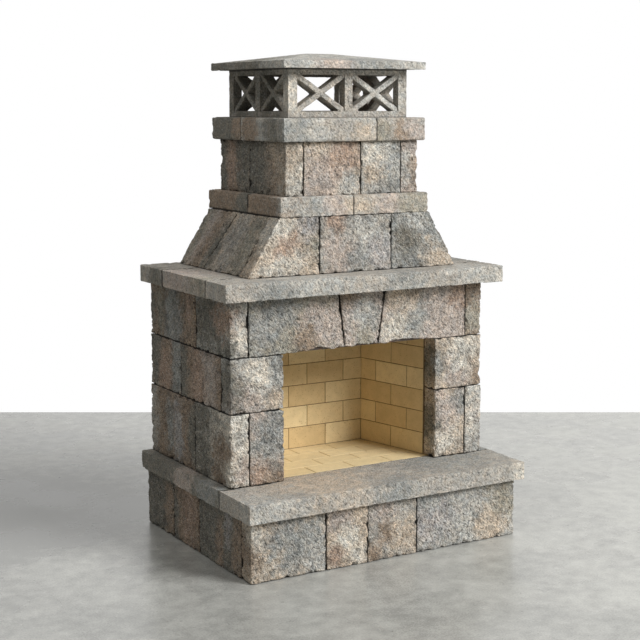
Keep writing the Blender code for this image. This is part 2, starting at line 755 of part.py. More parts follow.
def hood_half(level):
    """Half the hood's width at a height above its base."""
    return between(HOOD_BASE_WIDTH, HOOD_TOP_WIDTH, level / HOOD_HEIGHT) / 2


def hood_corners(base_x, top_x, base_y, top_y=None):
    """Corners of a hood block from its reach at the base and at the top."""
    base = box_corners(base_x, base_y, (HOOD_BASE, BAND_BASE))
    top = box_corners(top_x, top_y or base_y, (HOOD_BASE, BAND_BASE))
    return base[:4] + top[4:]


def make_hood():
    front, rear = STACK_Y - HOOD_DEPTH / 2, STACK_Y + HOOD_DEPTH / 2
    back_of_front = front + BLOCK_THICKNESS
    base, top = hood_half(0), hood_half(HOOD_HEIGHT)
    joints = [between(-top, top, share) for share in HOOD_FRONT_JOINT_SHARES]
    base_cuts, top_cuts = [-base, *joints, base], [-top, *joints, top]
    names = ("hood_front_left_block", "hood_front_middle_block", "hood_front_right_block")
    for n, name in enumerate(names):
        faces = ["front"] + ([["left"], [], ["right"]][n])
        corners = hood_corners(base_cuts[n:n + 2], top_cuts[n:n + 2], (front, back_of_front))
        tumbled_block(name, corners, faces)
    low = between(back_of_front, rear, HOOD_SIDE_JOINT_BASE_SHARE)
    high = between(back_of_front, rear, HOOD_SIDE_JOINT_TOP_SHARE)
    base_x = (-base, -base + BLOCK_THICKNESS)
    top_x = (-top, -top + BLOCK_THICKNESS)
    corners = hood_corners(base_x, top_x, (back_of_front, low), (back_of_front, high))
    tumbled_block("hood_left_front_block", corners, ["left"])
    corners = hood_corners(base_x, top_x, (low, rear), (high, rear))
    tumbled_block("hood_left_rear_block", corners, ["left", "rear"])
    base_x = (base - BLOCK_THICKNESS, base)
    top_x = (top - BLOCK_THICKNESS, top)
    corners = hood_corners(base_x, top_x, (back_of_front, rear))
    right = round_edges(solid("hood_right_blocks", corners, "block_stone"), BLOCK_ROUNDING)
    start, end = Vector((base, low, HOOD_BASE)), Vector((top, high, BAND_BASE))
    groove(right, start, end, Vector((HOOD_HEIGHT, 0, base - top)))
    inner_base, inner_top = base - BLOCK_THICKNESS, top - BLOCK_THICKNESS
    back_y = (rear - BLOCK_THICKNESS, rear)
    corners = hood_corners((-inner_base, inner_base), (-inner_top, inner_top), back_y)
    back = round_edges(solid("hood_rear_blocks", corners, "block_stone"), BLOCK_ROUNDING)
    for share in HOOD_REAR_JOINT_SHARES:
        x = between(-inner_top, inner_top, share)
        groove(back, Vector((x, rear, HOOD_BASE)), Vector((x, rear, BAND_BASE)), OUT_REAR)


# Bands round the flue


def make_band(name, width, depth, base, thickness, front_share, side_share):
    """Two slabs at the front and one at the back, notched round the flue."""
    half = width / 2
    front, rear = STACK_Y - depth / 2, STACK_Y + depth / 2
    joint_x = between(-half, half, front_share)
    joint_y = between(front, rear, side_share)
    hole = FLUE_SIZE / 2 + FLUE_CLEARANCE
    near, far = flue_centre() - hole, flue_centre() + hole
    gap = FIT / 2
    top = base + thickness - FIT
    y0, y1 = front + gap, joint_y - gap
    x0, x1 = -half + gap, joint_x - gap
    left = [(x0, y0), (x1, y0), (x1, near), (-hole, near), (-hole, y1), (x0, y1)]
    x0, x1 = joint_x + gap, half - gap
    right = [(x0, y0), (x1, y0), (x1, y1), (hole, y1), (hole, near), (x0, near)]
    y0, y1 = joint_y + gap, rear - gap
    back = [(-half + gap, y0), (-hole, y0), (-hole, far), (hole, far)]
    back += [(hole, y0), (half - gap, y0), (half - gap, y1), (-half + gap, y1)]
    for part, outline in (("front_left", left), ("front_right", right), ("rear", back)):
        made = prism(f"{name}_{part}_slab", outline, "z", base, top, "slab_stone")
        round_edges(made, SLAB_ROUNDING)


# Chimney


def make_chimney():
    half = CHIMNEY_WIDTH / 2
    inner = half - BLOCK_THICKNESS
    front, rear = STACK_Y - CHIMNEY_DEPTH / 2, STACK_Y + CHIMNEY_DEPTH / 2
    level = (CHIMNEY_BASE, CROWN_BASE)
    joint = between(-inner, inner, CHIMNEY_FRONT_JOINT_SHARE)
    face = (front, front + BLOCK_THICKNESS)
    tumbled_block("chimney_front_left_block", box_corners((-inner, joint), face, level), ["front"])
    tumbled_block("chimney_front_right_block", box_corners((joint, inner), face, level), ["front"])
    joint = between(front, rear, CHIMNEY_SIDE_JOINT_SHARE)
    corners = box_corners((-half, -inner), (front, joint), level)
    tumbled_block("chimney_left_front_block", corners, ["left", "front"])
    corners = box_corners((-half, -inner), (joint, rear), level)
    tumbled_block("chimney_left_rear_block", corners, ["left", "rear"])
    corners = box_corners((inner, half), (front, rear), level)
    right = round_edges(solid("chimney_right_blocks", corners, "block_stone"), BLOCK_ROUNDING)
    groove(right, Vector((half, joint, CHIMNEY_BASE)), Vector((half, joint, CROWN_BASE)), OUT_RIGHT)
    corners = box_corners((-inner, inner), (rear - BLOCK_THICKNESS, rear), level)
    back = round_edges(solid("chimney_rear_blocks", corners, "block_stone"), BLOCK_ROUNDING)
    x = between(-inner, inner, CHIMNEY_REAR_JOINT_SHARE)
    groove(back, Vector((x, rear, CHIMNEY_BASE)), Vector((x, rear, CROWN_BASE)), OUT_REAR)


# Lattice vent


def window_spans(size):
    """The two windows between the corner posts and the centre post of one side."""
    edge = size / 2 - CORNER_POST_WIDTH
    post = CENTRE_POST_WIDTH / 2
    return ((-edge, -post), (post, edge))


def cross_outline(window, level):
    """A twelve-point outline of two bars that cross in a window and run on into its frame."""
    (x0, x1), (z0, z1) = window, level
    centre = Vector(((x0 + x1) / 2, (z0 + z1) / 2))
    reach = Vector(((x1 - x0) / 2, (z1 - z0) / 2))
    reach += reach.normalized() * LATTICE_TENON
    turns = ((1, 1), (-1, 1), (-1, -1), (1, -1))
    arms = [Vector((reach.x * across, reach.y * up)) for across, up in turns]
    half = LATTICE_BAR_WIDTH / 2
    points = []
    for n, arm in enumerate(arms):
        following = arms[(n + 1) % 4]
        line = arm.normalized()
        side = Vector((line.y, -line.x)) * half
        points += [centre + arm + side, centre + arm - side]
        crotch = half / sin(line.angle(following) / 2)
        points.append(centre + (line + following.normalized()).normalized() * crotch)
    return points


def block_between(name, x, y, z):
    """A plain box with no fit taken off, for the vent's body and its cutters."""
    ring = ((x[0], y[0]), (x[1], y[0]), (x[1], y[1]), (x[0], y[1]))
    return solid(name, [Vector((px, py, pz)) for pz in z for px, py in ring], "vent_stone")


def make_vent():
    """A cast cage: a hollow body with two windows a side, each crossed by two bars."""
    half, deep = VENT_WIDTH / 2, VENT_DEPTH / 2
    left, right = -half, half
    front, rear = STACK_Y - deep, STACK_Y + deep
    base, top = VENT_BASE, CAP_BASE - FIT
    vent = block_between("lattice_vent", (left, right), (front, rear), (base, top))
    hollow_x = (left + VENT_WALL, right - VENT_WALL)
    hollow_y = (front + VENT_WALL, rear - VENT_WALL)
    hollow = block_between("vent_hollow", hollow_x, hollow_y, (base - OVERRUN, top + OVERRUN))
    combine(vent, hollow, "DIFFERENCE")
    level = (base + BOTTOM_RAIL_HEIGHT, top - TOP_RAIL_HEIGHT)
    through_x, through_y = (left - OVERRUN, right + OVERRUN), (front - OVERRUN, rear + OVERRUN)
    front_windows = window_spans(VENT_WIDTH)
    side_windows = [(STACK_Y + start, STACK_Y + end) for start, end in window_spans(VENT_DEPTH)]
    for window in front_windows:
        combine(vent, block_between("front_window", window, through_y, level), "DIFFERENCE")
    for window in side_windows:
        combine(vent, block_between("side_window", through_x, window, level), "DIFFERENCE")
    round_edges(vent, VENT_CHAMFER, 1)
    thin = VENT_WALL - 2 * LATTICE_RECESS
    sides = (
        ("y", front_windows, (front + LATTICE_RECESS, rear - VENT_WALL + LATTICE_RECESS)),
        ("x", side_windows, (left + LATTICE_RECESS, right - VENT_WALL + LATTICE_RECESS)),
    )
    for axis, windows, starts in sides:
        for window in windows:
            for start in starts:
                outline = cross_outline(window, level)
                cross = prism("lattice_cross", outline, axis, start, start + thin, "vent_stone")
                combine(vent, round_edges(cross, VENT_CHAMFER, 1), "UNION")


# Cap


def make_cap():
    bm = bmesh.new()
    edge = CAP_BASE + CAP_EDGE
    rings = []
    for width, depth, level in (
        (CAP_WIDTH, CAP_DEPTH, CAP_BASE),
        (CAP_WIDTH, CAP_DEPTH, edge),
        (CAP_RIDGE_WIDTH, CAP_RIDGE_DEPTH, edge + CAP_RISE),
    ):
        x, y = width / 2, depth / 2
        ring = ((-x, -y), (x, -y), (x, y), (-x, y))
        rings.append([bm.verts.new((px, STACK_Y + py, level)) for px, py in ring])
    bm.faces.new(rings[0])
    bm.faces.new(rings[-1])
    for low, high in zip(rings[:-1], rings[1:]):
        for n in range(4):
            after = (n + 1) % 4
            bm.faces.new((low[n], low[after], high[after], high[n]))
    round_edges(add_object("cap", mesh_from("cap", bm), "vent_stone"), VENT_CHAMFER)


def main():
    clear_scene()
    make_plinth()
    make_hearth()
    make_walls()
    make_firebox()
    make_smoke_chamber()
    make_flue()
    make_mantel()
    make_hood()
    shares = (BAND_FRONT_JOINT_SHARE, BAND_SIDE_JOINT_SHARE)
    make_band("band", BAND_WIDTH, BAND_DEPTH, BAND_BASE, BAND_THICKNESS, *shares)
    make_chimney()
    shares = (CROWN_FRONT_JOINT_SHARE, CROWN_SIDE_JOINT_SHARE)
    make_band("crown", CROWN_WIDTH, CROWN_DEPTH, CROWN_BASE, CROWN_THICKNESS, *shares)
    make_vent()
    make_cap()


main()
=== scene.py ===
# %% [markdown]
# # An outdoor fireplace of tumbled cast stone
# The real thing is stacked from concrete stones, cast with three or four pigments poured
# together, then split and tumbled, so no two faces look alike. The packed CAD model gives
# the places of all the pieces and stays fixed. This lesson builds the rough faces, the
# bricks of the firebox and the finishes round it.

# %% Load the fixed frame
import math
import random

import bpy
import numpy as np
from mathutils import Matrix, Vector


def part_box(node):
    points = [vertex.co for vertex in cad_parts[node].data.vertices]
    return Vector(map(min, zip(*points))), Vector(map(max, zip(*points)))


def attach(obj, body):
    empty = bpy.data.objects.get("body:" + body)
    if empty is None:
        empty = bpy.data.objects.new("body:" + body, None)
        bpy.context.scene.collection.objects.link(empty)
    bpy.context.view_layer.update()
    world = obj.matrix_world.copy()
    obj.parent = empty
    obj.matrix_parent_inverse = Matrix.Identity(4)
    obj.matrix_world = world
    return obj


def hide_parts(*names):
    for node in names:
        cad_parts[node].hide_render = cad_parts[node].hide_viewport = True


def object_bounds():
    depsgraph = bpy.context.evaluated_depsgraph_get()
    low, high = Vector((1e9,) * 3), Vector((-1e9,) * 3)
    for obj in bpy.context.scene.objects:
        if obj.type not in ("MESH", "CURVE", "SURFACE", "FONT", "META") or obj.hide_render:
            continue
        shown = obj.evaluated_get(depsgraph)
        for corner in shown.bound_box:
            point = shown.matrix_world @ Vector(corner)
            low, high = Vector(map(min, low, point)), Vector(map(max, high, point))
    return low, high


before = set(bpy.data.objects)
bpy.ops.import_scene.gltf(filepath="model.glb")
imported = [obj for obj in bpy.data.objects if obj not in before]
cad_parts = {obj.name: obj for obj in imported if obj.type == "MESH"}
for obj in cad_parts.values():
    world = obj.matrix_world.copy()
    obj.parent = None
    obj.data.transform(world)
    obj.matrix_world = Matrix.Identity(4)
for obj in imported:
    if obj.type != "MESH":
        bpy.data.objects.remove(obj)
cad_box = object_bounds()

print("CAD nodes:", len(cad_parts))
print("CAD box:", [[round(c, 4) for c in corner] for corner in cad_box])


# %% Short ways to add a mesh and an object
def mesh_of(name, points, faces):
    mesh = bpy.data.meshes.new(name)
    mesh.from_pydata(points, [], faces)
    return mesh


def placed(name, data):
    """A new object in the scene, at the origin."""
    thing = bpy.data.objects.new(name, data)
    bpy.context.scene.collection.objects.link(thing)
    return thing


# %% [markdown]
# ## The camera
# The photograph is taken from the front left, a little below the top of the fireplace, with
# a long lens. The place and the turn come from matching about sixty corners of the stones
# to the picture. The small shift keeps their upright edges where the picture has them.

# %% Set the camera
CAMERA_PLACE = Vector((-3.7223, -6.1767, 2.2498))
CAMERA_TILT, CAMERA_TURN = 82.3965, -30.651  # degrees
LENS, SENSOR, SHIFT_UP = 78.25, 36, -0.0469

camera_data = bpy.data.cameras.new("camera")
camera_data.lens = LENS
camera_data.sensor_width = SENSOR
camera_data.shift_y = SHIFT_UP
camera = placed("camera", camera_data)
camera.location = CAMERA_PLACE
camera.rotation_euler = (math.radians(CAMERA_TILT), 0, math.radians(CAMERA_TURN))
bpy.context.scene.camera = camera
bpy.context.scene.view_settings.view_transform = "Standard"
print("camera distance:", round(CAMERA_PLACE.length, 2), "m")

# %% [markdown]
# ## Node trees written as sums
# A node tree is a formula, which wiring by hand hides. So one class wraps a socket and
# gives it Python's operators: each sum or product adds one Math node, or one Vector Math
# node if a vector takes part. Every other node comes from one method, which takes its
# type, the values or wires of its sockets and its settings. Both serve for geometry too.

# %% Sockets with operators and textures
class Wire:
    """A node's output that Python's operators can work on."""

    def __init__(self, nodes, socket):
        self.nodes = nodes
        self.socket = socket

    def vector(self):
        return self.socket.type in ("VECTOR", "RGBA")

    def joined(self, operation, first, second):
        pair = (first, second)
        wide = any(isinstance(v, tuple) or (isinstance(v, Wire) and v.vector()) for v in pair)
        kind = "ShaderNodeVectorMath" if wide else "ShaderNodeMath"
        return self.nodes.add(kind, {0: first, 1: second}, operation=operation)

    def __add__(self, other):
        return self.joined("ADD", self, other)

    def __radd__(self, other):
        return self.joined("ADD", other, self)

    def __sub__(self, other):
        return self.joined("SUBTRACT", self, other)

    def __rsub__(self, other):
        return self.joined("SUBTRACT", other, self)

    def __mul__(self, other):
        return self.joined("MULTIPLY", self, other)

    def __truediv__(self, other):
        return self.joined("DIVIDE", self, other)

    def least(self, other):
        return self.joined("MINIMUM", self, other)

    def most(self, other):
        return self.joined("MAXIMUM", self, other)

    def size(self):
        return self.nodes.add("ShaderNodeVectorMath", {0: self}, 1, operation="LENGTH")

    def unit(self):
        return self.nodes.add("ShaderNodeVectorMath", {0: self}, operation="NORMALIZE")

    def positive(self):
        return self.nodes.add("ShaderNodeVectorMath", {0: self}, operation="ABSOLUTE")

    def parts(self):
        split = self.nodes.add("ShaderNodeSeparateXYZ", {0: self}).socket.node
        return [Wire(self.nodes, socket) for socket in split.outputs]

    def rise(self, start, end, low=0.0, high=1.0):
        """A soft step of the value from start to end."""
        given = {0: self, 1: start, 2: end, 3: low, 4: high}
        return self.nodes.add("ShaderNodeMapRange", given, interpolation_type="SMOOTHSTEP")

    def noise(self, size, detail=2, roughness=0.5, output=0):
        """Soft noise with lumps of about this size in metres, from 0 to 1."""
        given = {"Vector": self, "Scale": 1 / size, "Detail": detail, "Roughness": roughness}
        return self.nodes.add("ShaderNodeTexNoise", given, output)

    def cells(self, size, output=0):
        """The distance to the nearest seed of cells of this size, or as output 1 their colour."""
        return self.nodes.add("ShaderNodeTexVoronoi", {"Vector": self, "Scale": 1 / size}, output)


print("operators ready:", sorted(name for name in vars(Wire) if name.endswith("__")))


# %% A writer of nodes
class Nodes:
    """Adds nodes to one tree."""

    def __init__(self, tree):
        self.tree = tree

    def add(self, kind, inputs=None, output=0, **settings):
        node = self.tree.nodes.new(kind)
        for key, value in settings.items():
            setattr(node, key, value)
        for key, value in (inputs or {}).items():
            self.feed(node.inputs[key], value)
        return Wire(self, node.outputs[output]) if len(node.outputs) else node

    def feed(self, socket, value):
        """Wire a value to a socket or set it there, a lone number for all parts of a vector."""
        if isinstance(value, Wire):
            self.tree.links.new(value.socket, socket)
            return
        length = len(socket.default_value) if hasattr(socket.default_value, "__len__") else 0
        if length and not isinstance(value, (tuple, str)):
            value = (value,) * length
        if length == 4 and len(value) == 3:
            value = value + (1,)
        socket.default_value = value

    def own_place(self):
        """In a material, the coordinates of the object itself."""
        return self.add("ShaderNodeTexCoord", output="Object")

    def attribute(self, name, output="Fac"):
        return self.add("ShaderNodeAttribute", {}, output, attribute_name=name)

    def mix(self, share, first, second):
        """Two colours mixed."""
        given = {0: share, 6: first, 7: second}
        return self.add("ShaderNodeMix", given, 2, data_type="RGBA")

    def surface(self, shader, colour, roughness, height=None, depth=0.0, strength=1.0):
        """Give a shader its colour and its roughness, and a bump of this depth in metres."""
        self.feed(shader.inputs["Base Color"], colour)
        self.feed(shader.inputs["Roughness"], roughness)
        if height:
            given = {"Strength": strength, "Distance": depth, "Height": height}
            self.feed(shader.inputs["Normal"], self.add("ShaderNodeBump", given))


print("short ways:", [name for name in vars(Nodes) if not name.startswith("_")])

# %% [markdown]
# ## Floor, background and light
# The picture is a studio shot: a pale grey concrete floor with a faint polish that ends in a
# straight line, and pure white behind it. A large soft lamp at the front right and a weak
# one overhead leave the left faces about a quarter as bright as the front. A third behind
# lights the back for other views; in the picture only the floor feels it. Camera, glossy
# and clear rays see a white world, all other rays a dim grey one.

# %% Make the floor plane
FLOOR_START, FLOOR_END = -14.0, 10.045  # metres from the camera, along the floor
FLOOR_HALF_WIDTH = 17.0

turn = math.radians(-CAMERA_TURN)
ahead = Vector((math.sin(turn), math.cos(turn), 0))
aside = Vector((ahead.y, -ahead.x, 0))
stand = Vector((CAMERA_PLACE.x, CAMERA_PLACE.y, 0))
corners = []
for along, across in ((FLOOR_START, -1), (FLOOR_START, 1), (FLOOR_END, 1), (FLOOR_END, -1)):
    corners.append(stand + ahead * along + aside * across * FLOOR_HALF_WIDTH)
floor_mesh = mesh_of("studio_floor", corners, [(0, 1, 2, 3)])
placed("studio_floor", floor_mesh)
print("floor runs", round(FLOOR_END - FLOOR_START, 1), "m along the view")


# %% Colours, written as a picture editor shows them
VIEWPORT_GREY = (0.4, 0.38, 0.35, 1)


def linear(colour):
    """A colour of three numbers up to 255, as light."""
    return tuple(((c / 255 + 0.055) / 1.055) ** 2.4 if c > 10 else c / 255 / 12.92 for c in colour)


def new_material(name, specular=0.5):
    """A material, its node writer and its shader node."""
    made = bpy.data.materials.new(name)
    made.use_nodes = True
    made.diffuse_color = VIEWPORT_GREY
    shader = made.node_tree.nodes["Principled BSDF"]
    shader.inputs["Specular IOR Level"].default_value = specular
    return made, Nodes(made.node_tree), shader


print("middle grey as light:", round(linear((128, 128, 128))[0], 3))

# %% Finish the floor
# The darker patch is a painted shadow, where the fireplace's shadow falls on the floor.
PAINTED_SHADOW_PLACE, PAINTED_SHADOW_REACH = (-1.3, 1.2, 0.0), 1.2  # a darker patch at the back left
CONCRETE_DARK, CONCRETE_LIGHT = (148, 148, 144), (200, 200, 194)

material, nodes, shader = new_material("polished_concrete_floor")
place = nodes.own_place()
clouds = place.noise(0.6, 4, 0.6)
mottle = place.noise(0.09, 4, 0.65)
grain = place.noise(0.009, 3, 0.75)
# Painted light: the floor's colour grows lighter towards the right, nearer the key lamp.
painted_light_right = place.parts()[0] * 0.09
# Painted shadow: the floor darkened at the back left, round the place given above.
worn = (place - PAINTED_SHADOW_PLACE).size().rise(PAINTED_SHADOW_REACH, 0.2)
holes = place.cells(0.035, 1).parts()[0].rise(0.05, 0.04)
holes = holes * place.cells(0.035).rise(0.16, 0.10)
tone = clouds * 1.3 + mottle * 1.35 + grain * 1.7 + painted_light_right - worn * 0.75 - 1.73
colour = nodes.mix(tone, linear(CONCRETE_DARK), linear(CONCRETE_LIGHT))
colour = colour * (1 - holes * 0.35) * (1 - worn * 0.11)
nodes.surface(shader, colour, clouds.rise(0.35, 0.65, 0.22, 0.34))
floor_mesh.materials.append(material)
print("the floor's tree has", len(nodes.tree.nodes), "nodes")

# %% Hang the lamps and set the world
AIM = Vector((0, 0, 1.0))
LAMPS = {  # place, width in metres and power in watts
    "soft_key": ((7.2, -12.0, 10.0), 7.0, 3060),
    "soft_top": ((-3.6, -0.8, 8.6), 5.0, 155),
    "soft_back": ((5.0, 13.0, 8.0), 7.0, 420),
}
DIM = 0.205
DIM_SKY, WHITE = (DIM, DIM * 0.99, DIM * 0.95), (1, 1, 1)

for name, (spot, width, power) in LAMPS.items():
    lamp_data = bpy.data.lights.new(name, "AREA")
    lamp_data.shape = "SQUARE"
    lamp_data.size = width
    lamp_data.energy = power
    lamp = placed(name, lamp_data)
    lamp.location = spot
    lamp.visible_glossy = name != "soft_back"
    lamp.rotation_euler = (AIM - Vector(spot)).to_track_quat("-Z", "Y").to_euler()
    print(name, "hangs", round((Vector(spot) - AIM).length, 1), "m away")

world = bpy.data.worlds.new("white_studio")
bpy.context.scene.world = world
world.use_nodes = True
nodes = Nodes(world.node_tree)
rays = nodes.add("ShaderNodeLightPath").socket.node
camera_ray, glossy_ray, clear_ray = (
    Wire(nodes, rays.outputs[f"Is {kind} Ray"]) for kind in ("Camera", "Glossy", "Transmission")
)
sky = nodes.mix(camera_ray.most(glossy_ray).most(clear_ray), DIM_SKY, WHITE)
nodes.feed(world.node_tree.nodes["Background"].inputs["Color"], sky)
print("fill light:", DIM)

# %% [markdown]
# ## Pigments of the cast stone
# The maker pours differently coloured concrete into one mould, so each stone is a ground
# colour with clouded patches of others, here chosen for the stones in view. Below, a piece
# has two lines: its name and ground, then its patches. A patch is a pigment, its place as
# shares of the stone's width, depth and height, and its reach in metres.

# %% Name the pigments
PIGMENTS = {
    "buff": (188, 175, 158),
    "rose": (178, 167, 157),
    "rust": (169, 149, 133),
    "slate": (152, 152, 147),
    "ash": (177, 175, 168),
    "cream": (203, 197, 185),
    "umber": (148, 133, 117),
    "olive": (155, 150, 137),
    "mauve": (166, 162, 158),
    "iron": (125, 122, 113),
    "stone": (169, 164, 155),
}
PATCHES = 5


def read_paint(table):
    """For each piece its ground and its patches, as (pigment, shares, reach)."""
    lines = table.strip().splitlines()
    paint = {}
    for head, body in zip(lines[::2], lines[1::2]):
        name, ground = head.split()
        patches = []
        for words in body.split(","):
            pigment, *numbers = words.split()
            u, v, w, reach = (float(n) for n in numbers)
            patches.append((pigment, (u, v, w), reach))
        paint[name] = ground, patches
    return paint


print(len(PIGMENTS), "pigments, up to", PATCHES, "patches a stone")

# %% Patches of the plinth and the wall
PAINT = read_paint("""
plinth_front_block_1 buff
  cream .08 0 .7 .06, slate .62 0 .55 .17, ash .92 0 .2 .1, umber 0 .8 .5 .09
plinth_front_block_2 buff
  rose .3 0 .85 .08, cream .5 0 .5 .06, cream .8 0 .2 .05, rust .2 0 .2 .06
plinth_front_block_3 stone
  rose .3 0 .85 .07, umber .4 0 .4 .06, buff .8 0 .3 .10, umber .1 0 .1 .06
plinth_front_block_4 ash
  mauve .1 0 .6 .15, slate .1 0 .9 .07, buff .75 0 .25 .11, olive .9 0 .8 .11
plinth_left_block_1 iron
  umber 0 .05 .5 .09, iron 0 .75 .4 .11, umber 0 .5 .3 .06, mauve 0 .3 .8 .04
plinth_left_block_2 umber
  rust 0 .4 .6 .10, iron 0 1 .3 .08
plinth_left_block_3 iron
  umber 0 .15 .4 .08, iron 0 .8 .5 .1
lower_left_side_front_block cream
  rose .75 0 .25 .06, iron 0 .82 .85 .14, iron 0 .82 .22 .14, umber 0 .26 .45 .08, umber 0 .36 .1 .05
lower_left_side_rear_block umber
  stone 0 .95 .5 .09, slate 0 .55 .5 .06, mauve 0 .36 .4 .07, iron 0 .05 .5 .07
lower_left_pier_block rose
  slate .6 0 .55 .12, rust .3 0 .1 .08, umber .8 0 .05 .07, slate .9 0 .9 .07
lower_right_pier_block buff
  slate .85 0 .75 .08, cream .35 0 .3 .08, rose .3 0 .7 .10, iron 0 .75 .5 .08
middle_left_pier_block ash
  rose .3 0 .25 .12, slate .9 0 .85 .06, cream .5 0 .65 .07, buff .85 0 .15 .06, iron 0 .6 .5 .1
middle_left_side_front_block umber
  rose 0 .3 .5 .12, iron 0 .95 .5 .08, rust 0 .55 .3 .09
middle_left_side_rear_block umber
  slate 0 .1 .5 .1, iron 0 .85 .7 .1, rust 0 .5 .3 .08
middle_right_pier_block buff
  rose .5 0 .3 .10, cream .6 0 .75 .10, umber .9 0 .15 .05, iron 0 .7 .5 .08, slate 0 0 .5 .04
upper_left_side_front_block ash
  cream .6 0 .3 .08, iron 0 .75 .5 .16, iron 0 .2 .05 .07, rust 0 .22 .65 .08
upper_left_side_rear_block umber
  slate 0 .5 .4 .12, iron 0 .97 .5 .05, rust 0 .15 .75 .05, olive 0 .78 .6 .06
lintel_left_stone olive
  slate .1 0 .5 .13, slate .38 0 .8 .1, rose .85 0 .4 .15, umber .6 0 .2 .06
keystone rose
  umber .2 0 .95 .07, ash .6 0 .5 .09, olive .6 0 .1 .07
lintel_right_stone rose
  cream .2 0 .25 .09, slate .43 0 .42 .09, buff .2 0 .85 .1, rust .9 0 .75 .07
lower_right_side_front_block ash
  cream .5 0 .6 .12, rose 1 .5 .5 .15, slate 1 .8 .2 .12
middle_right_side_front_block umber
  rose 1 .4 .3 .12, slate 1 .8 .7 .12
upper_right_side_front_block umber
  olive .5 0 .3 .08, slate 1 .6 .5 .14
""")
print(len(PAINT), "stones have patches of their own")

# %% Patches of the hood, the chimney and the slabs
# The iron patches at the left end (first share 0) of the vent and of the cap darken their left faces:
# partly a darker pigment, partly painted shade on the side away from the key lamp.
PAINT.update(read_paint("""
hood_front_left_block buff
  cream .12 0 .8 .10, mauve .8 0 .95 .09, rust .42 0 .5 .07, cream .45 0 .12 .09, olive .95 0 .5 .06
hood_front_middle_block stone
  rust .22 0 .92 .06, ash .72 0 .6 .12, mauve .85 0 .3 .08, slate .5 0 .1 .08, rose .25 0 .35 .09
hood_front_right_block slate
  iron .3 0 .5 .08, buff .8 0 .1 .10, ash .6 0 .95 .08
hood_left_front_block buff
  stone 0 .6 .5 .11, olive 0 .2 .5 .1, iron 0 .95 .3 .05
hood_left_rear_block buff
  umber 0 .4 .5 .1, iron 0 .05 .4 .07, rose 0 .7 .6 .1, olive 0 .9 .7 .08
chimney_left_front_block iron
  umber 0 .25 .5 .12, buff 1 0 .6 .16, cream .75 0 .25 .08, iron 0 .8 .5 .1
chimney_left_rear_block umber
  iron 0 .15 .6 .12, iron 0 .9 .4 .1, rust 0 .6 .5 .06
chimney_front_left_block buff
  rose .3 0 .3 .12, rust .7 0 .7 .1, ash .8 0 .2 .07
chimney_front_right_block ash
  cream .15 0 .85 .08, slate .75 0 .2 .08, buff .3 0 .4 .06, slate .9 0 .85 .05
chimney_right_front_block rose
  ash .2 0 .5 .08, umber 1 .5 .5 .15
hearth_front_slab stone
  ash .07 0 .5 .13, buff .3 .6 1 .25, slate .8 .8 1 .25, slate .52 0 .3 .12, cream .99 0 .5 .07
hearth_left_slab iron
  rose 0 .45 .5 .11, slate 0 .15 .5 .12
mantel_front_slab stone
  ash .3 0 .5 .2, slate .62 0 .3 .12, slate .16 0 .4 .1, ash .9 0 .6 .15
mantel_middle_slab stone
  olive 0 .2 .5 .12, rose 0 .7 .5 .2, slate 1 .5 .5 .2
mantel_rear_slab stone
  iron 0 .3 .5 .1, umber .3 1 .5 .2, slate .8 1 .5 .2
band_front_left_slab ash
  slate .45 0 .5 .07, rose .75 0 .5 .09, umber 0 .6 .5 .2, buff .98 0 .5 .05
band_front_right_slab stone
  rose .45 0 .4 .08, buff .1 0 .5 .06, olive .8 0 .5 .1
band_rear_slab umber
  iron 0 .1 .5 .1, ash .5 1 .5 .2, slate .9 1 .5 .12
crown_front_left_slab ash
  slate .12 0 .4 .1, stone .6 0 .6 .12, buff .85 0 .3 .07, iron 0 .25 .5 .09, umber 0 .8 .5 .1
crown_front_right_slab stone
  olive .1 0 .4 .06, umber .55 0 .3 .07, rose .85 0 .4 .08
crown_rear_slab iron
  umber 0 .1 .5 .06, ash .5 1 .5 .2, rose .9 1 .5 .12
lattice_vent stone
  ash .8 0 .5 .12, iron 0 .35 .5 .17, iron 0 .8 .5 .2, cream .02 0 .5 .08
cap ash
  slate .62 0 .3 .14, rose .35 0 .4 .10, iron 0 .5 .1 .2, slate .9 .3 .3 .12, iron 0 .95 .1 .25
"""))
print(len(PAINT), "pieces have patches of their own")


# %% A choice for the stones that the picture does not show
GROUNDS = ("buff", "rose", "ash", "umber", "olive", "slate")
OTHERS = ("slate", "rose", "umber", "ash", "rust", "buff", "mauve")


def paint_of(name):
    """The ground pigment and the patches of a piece."""
    if name in PAINT:
        return PAINT[name]
    dice = random.Random(name)
    ground = dice.choice(GROUNDS)
    patches = []
    for pigment in dice.sample(OTHERS, 3):
        spot = (dice.random(), dice.choice((0, 0.5, 1)), dice.random())
        patches.append((pigment, spot, dice.uniform(0.07, 0.15)))
    return ground, patches


print("an unseen stone:", paint_of("wall_rear_2_1"))

# %% [markdown]
# ## The finish of cast stone
# Close up the concrete is pigment between grains of sand and crushed rock. So the material
# starts from the poured pigment, which the mesh carries as an attribute, clouds it, throws
# in pale and dark grains, paints shade into what lies deep and where a face turns in towards
# a neighbour, and lightens the rubbed arrises. Grit too small for the mesh is a bump. The
# blocks, the slabs and the vent share one recipe with different grain, as the real ones
# share one mix in different moulds.

# %% Write the stone recipe
SLOPE = (0.64, 0.77)  # cosine and sine of the way in which the grain is drawn out
DRAW = (0.55, 1.15, 1.25)
COOL, WARM = (0.965, 1.0, 1.04), (1.04, 0.995, 0.955)
PALE_GRAIN = (214, 211, 206)
CLOUD, HUE, SPOT, CRUMB, FLECK, PIT = 0.06, 0.030, 0.016, 0.0045, 0.0075, 0.0080  # sizes


def combed(nodes, place):
    """Coordinates that draw the grain out down a slope, as splitting and tumbling do."""
    x, y, z = place.parts()
    cosine, sine = SLOPE
    turned = (x * cosine - z * sine, y, x * sine + z * cosine)
    return nodes.add("ShaderNodeCombineXYZ", {n: turned[n] * DRAW[n] for n in range(3)})


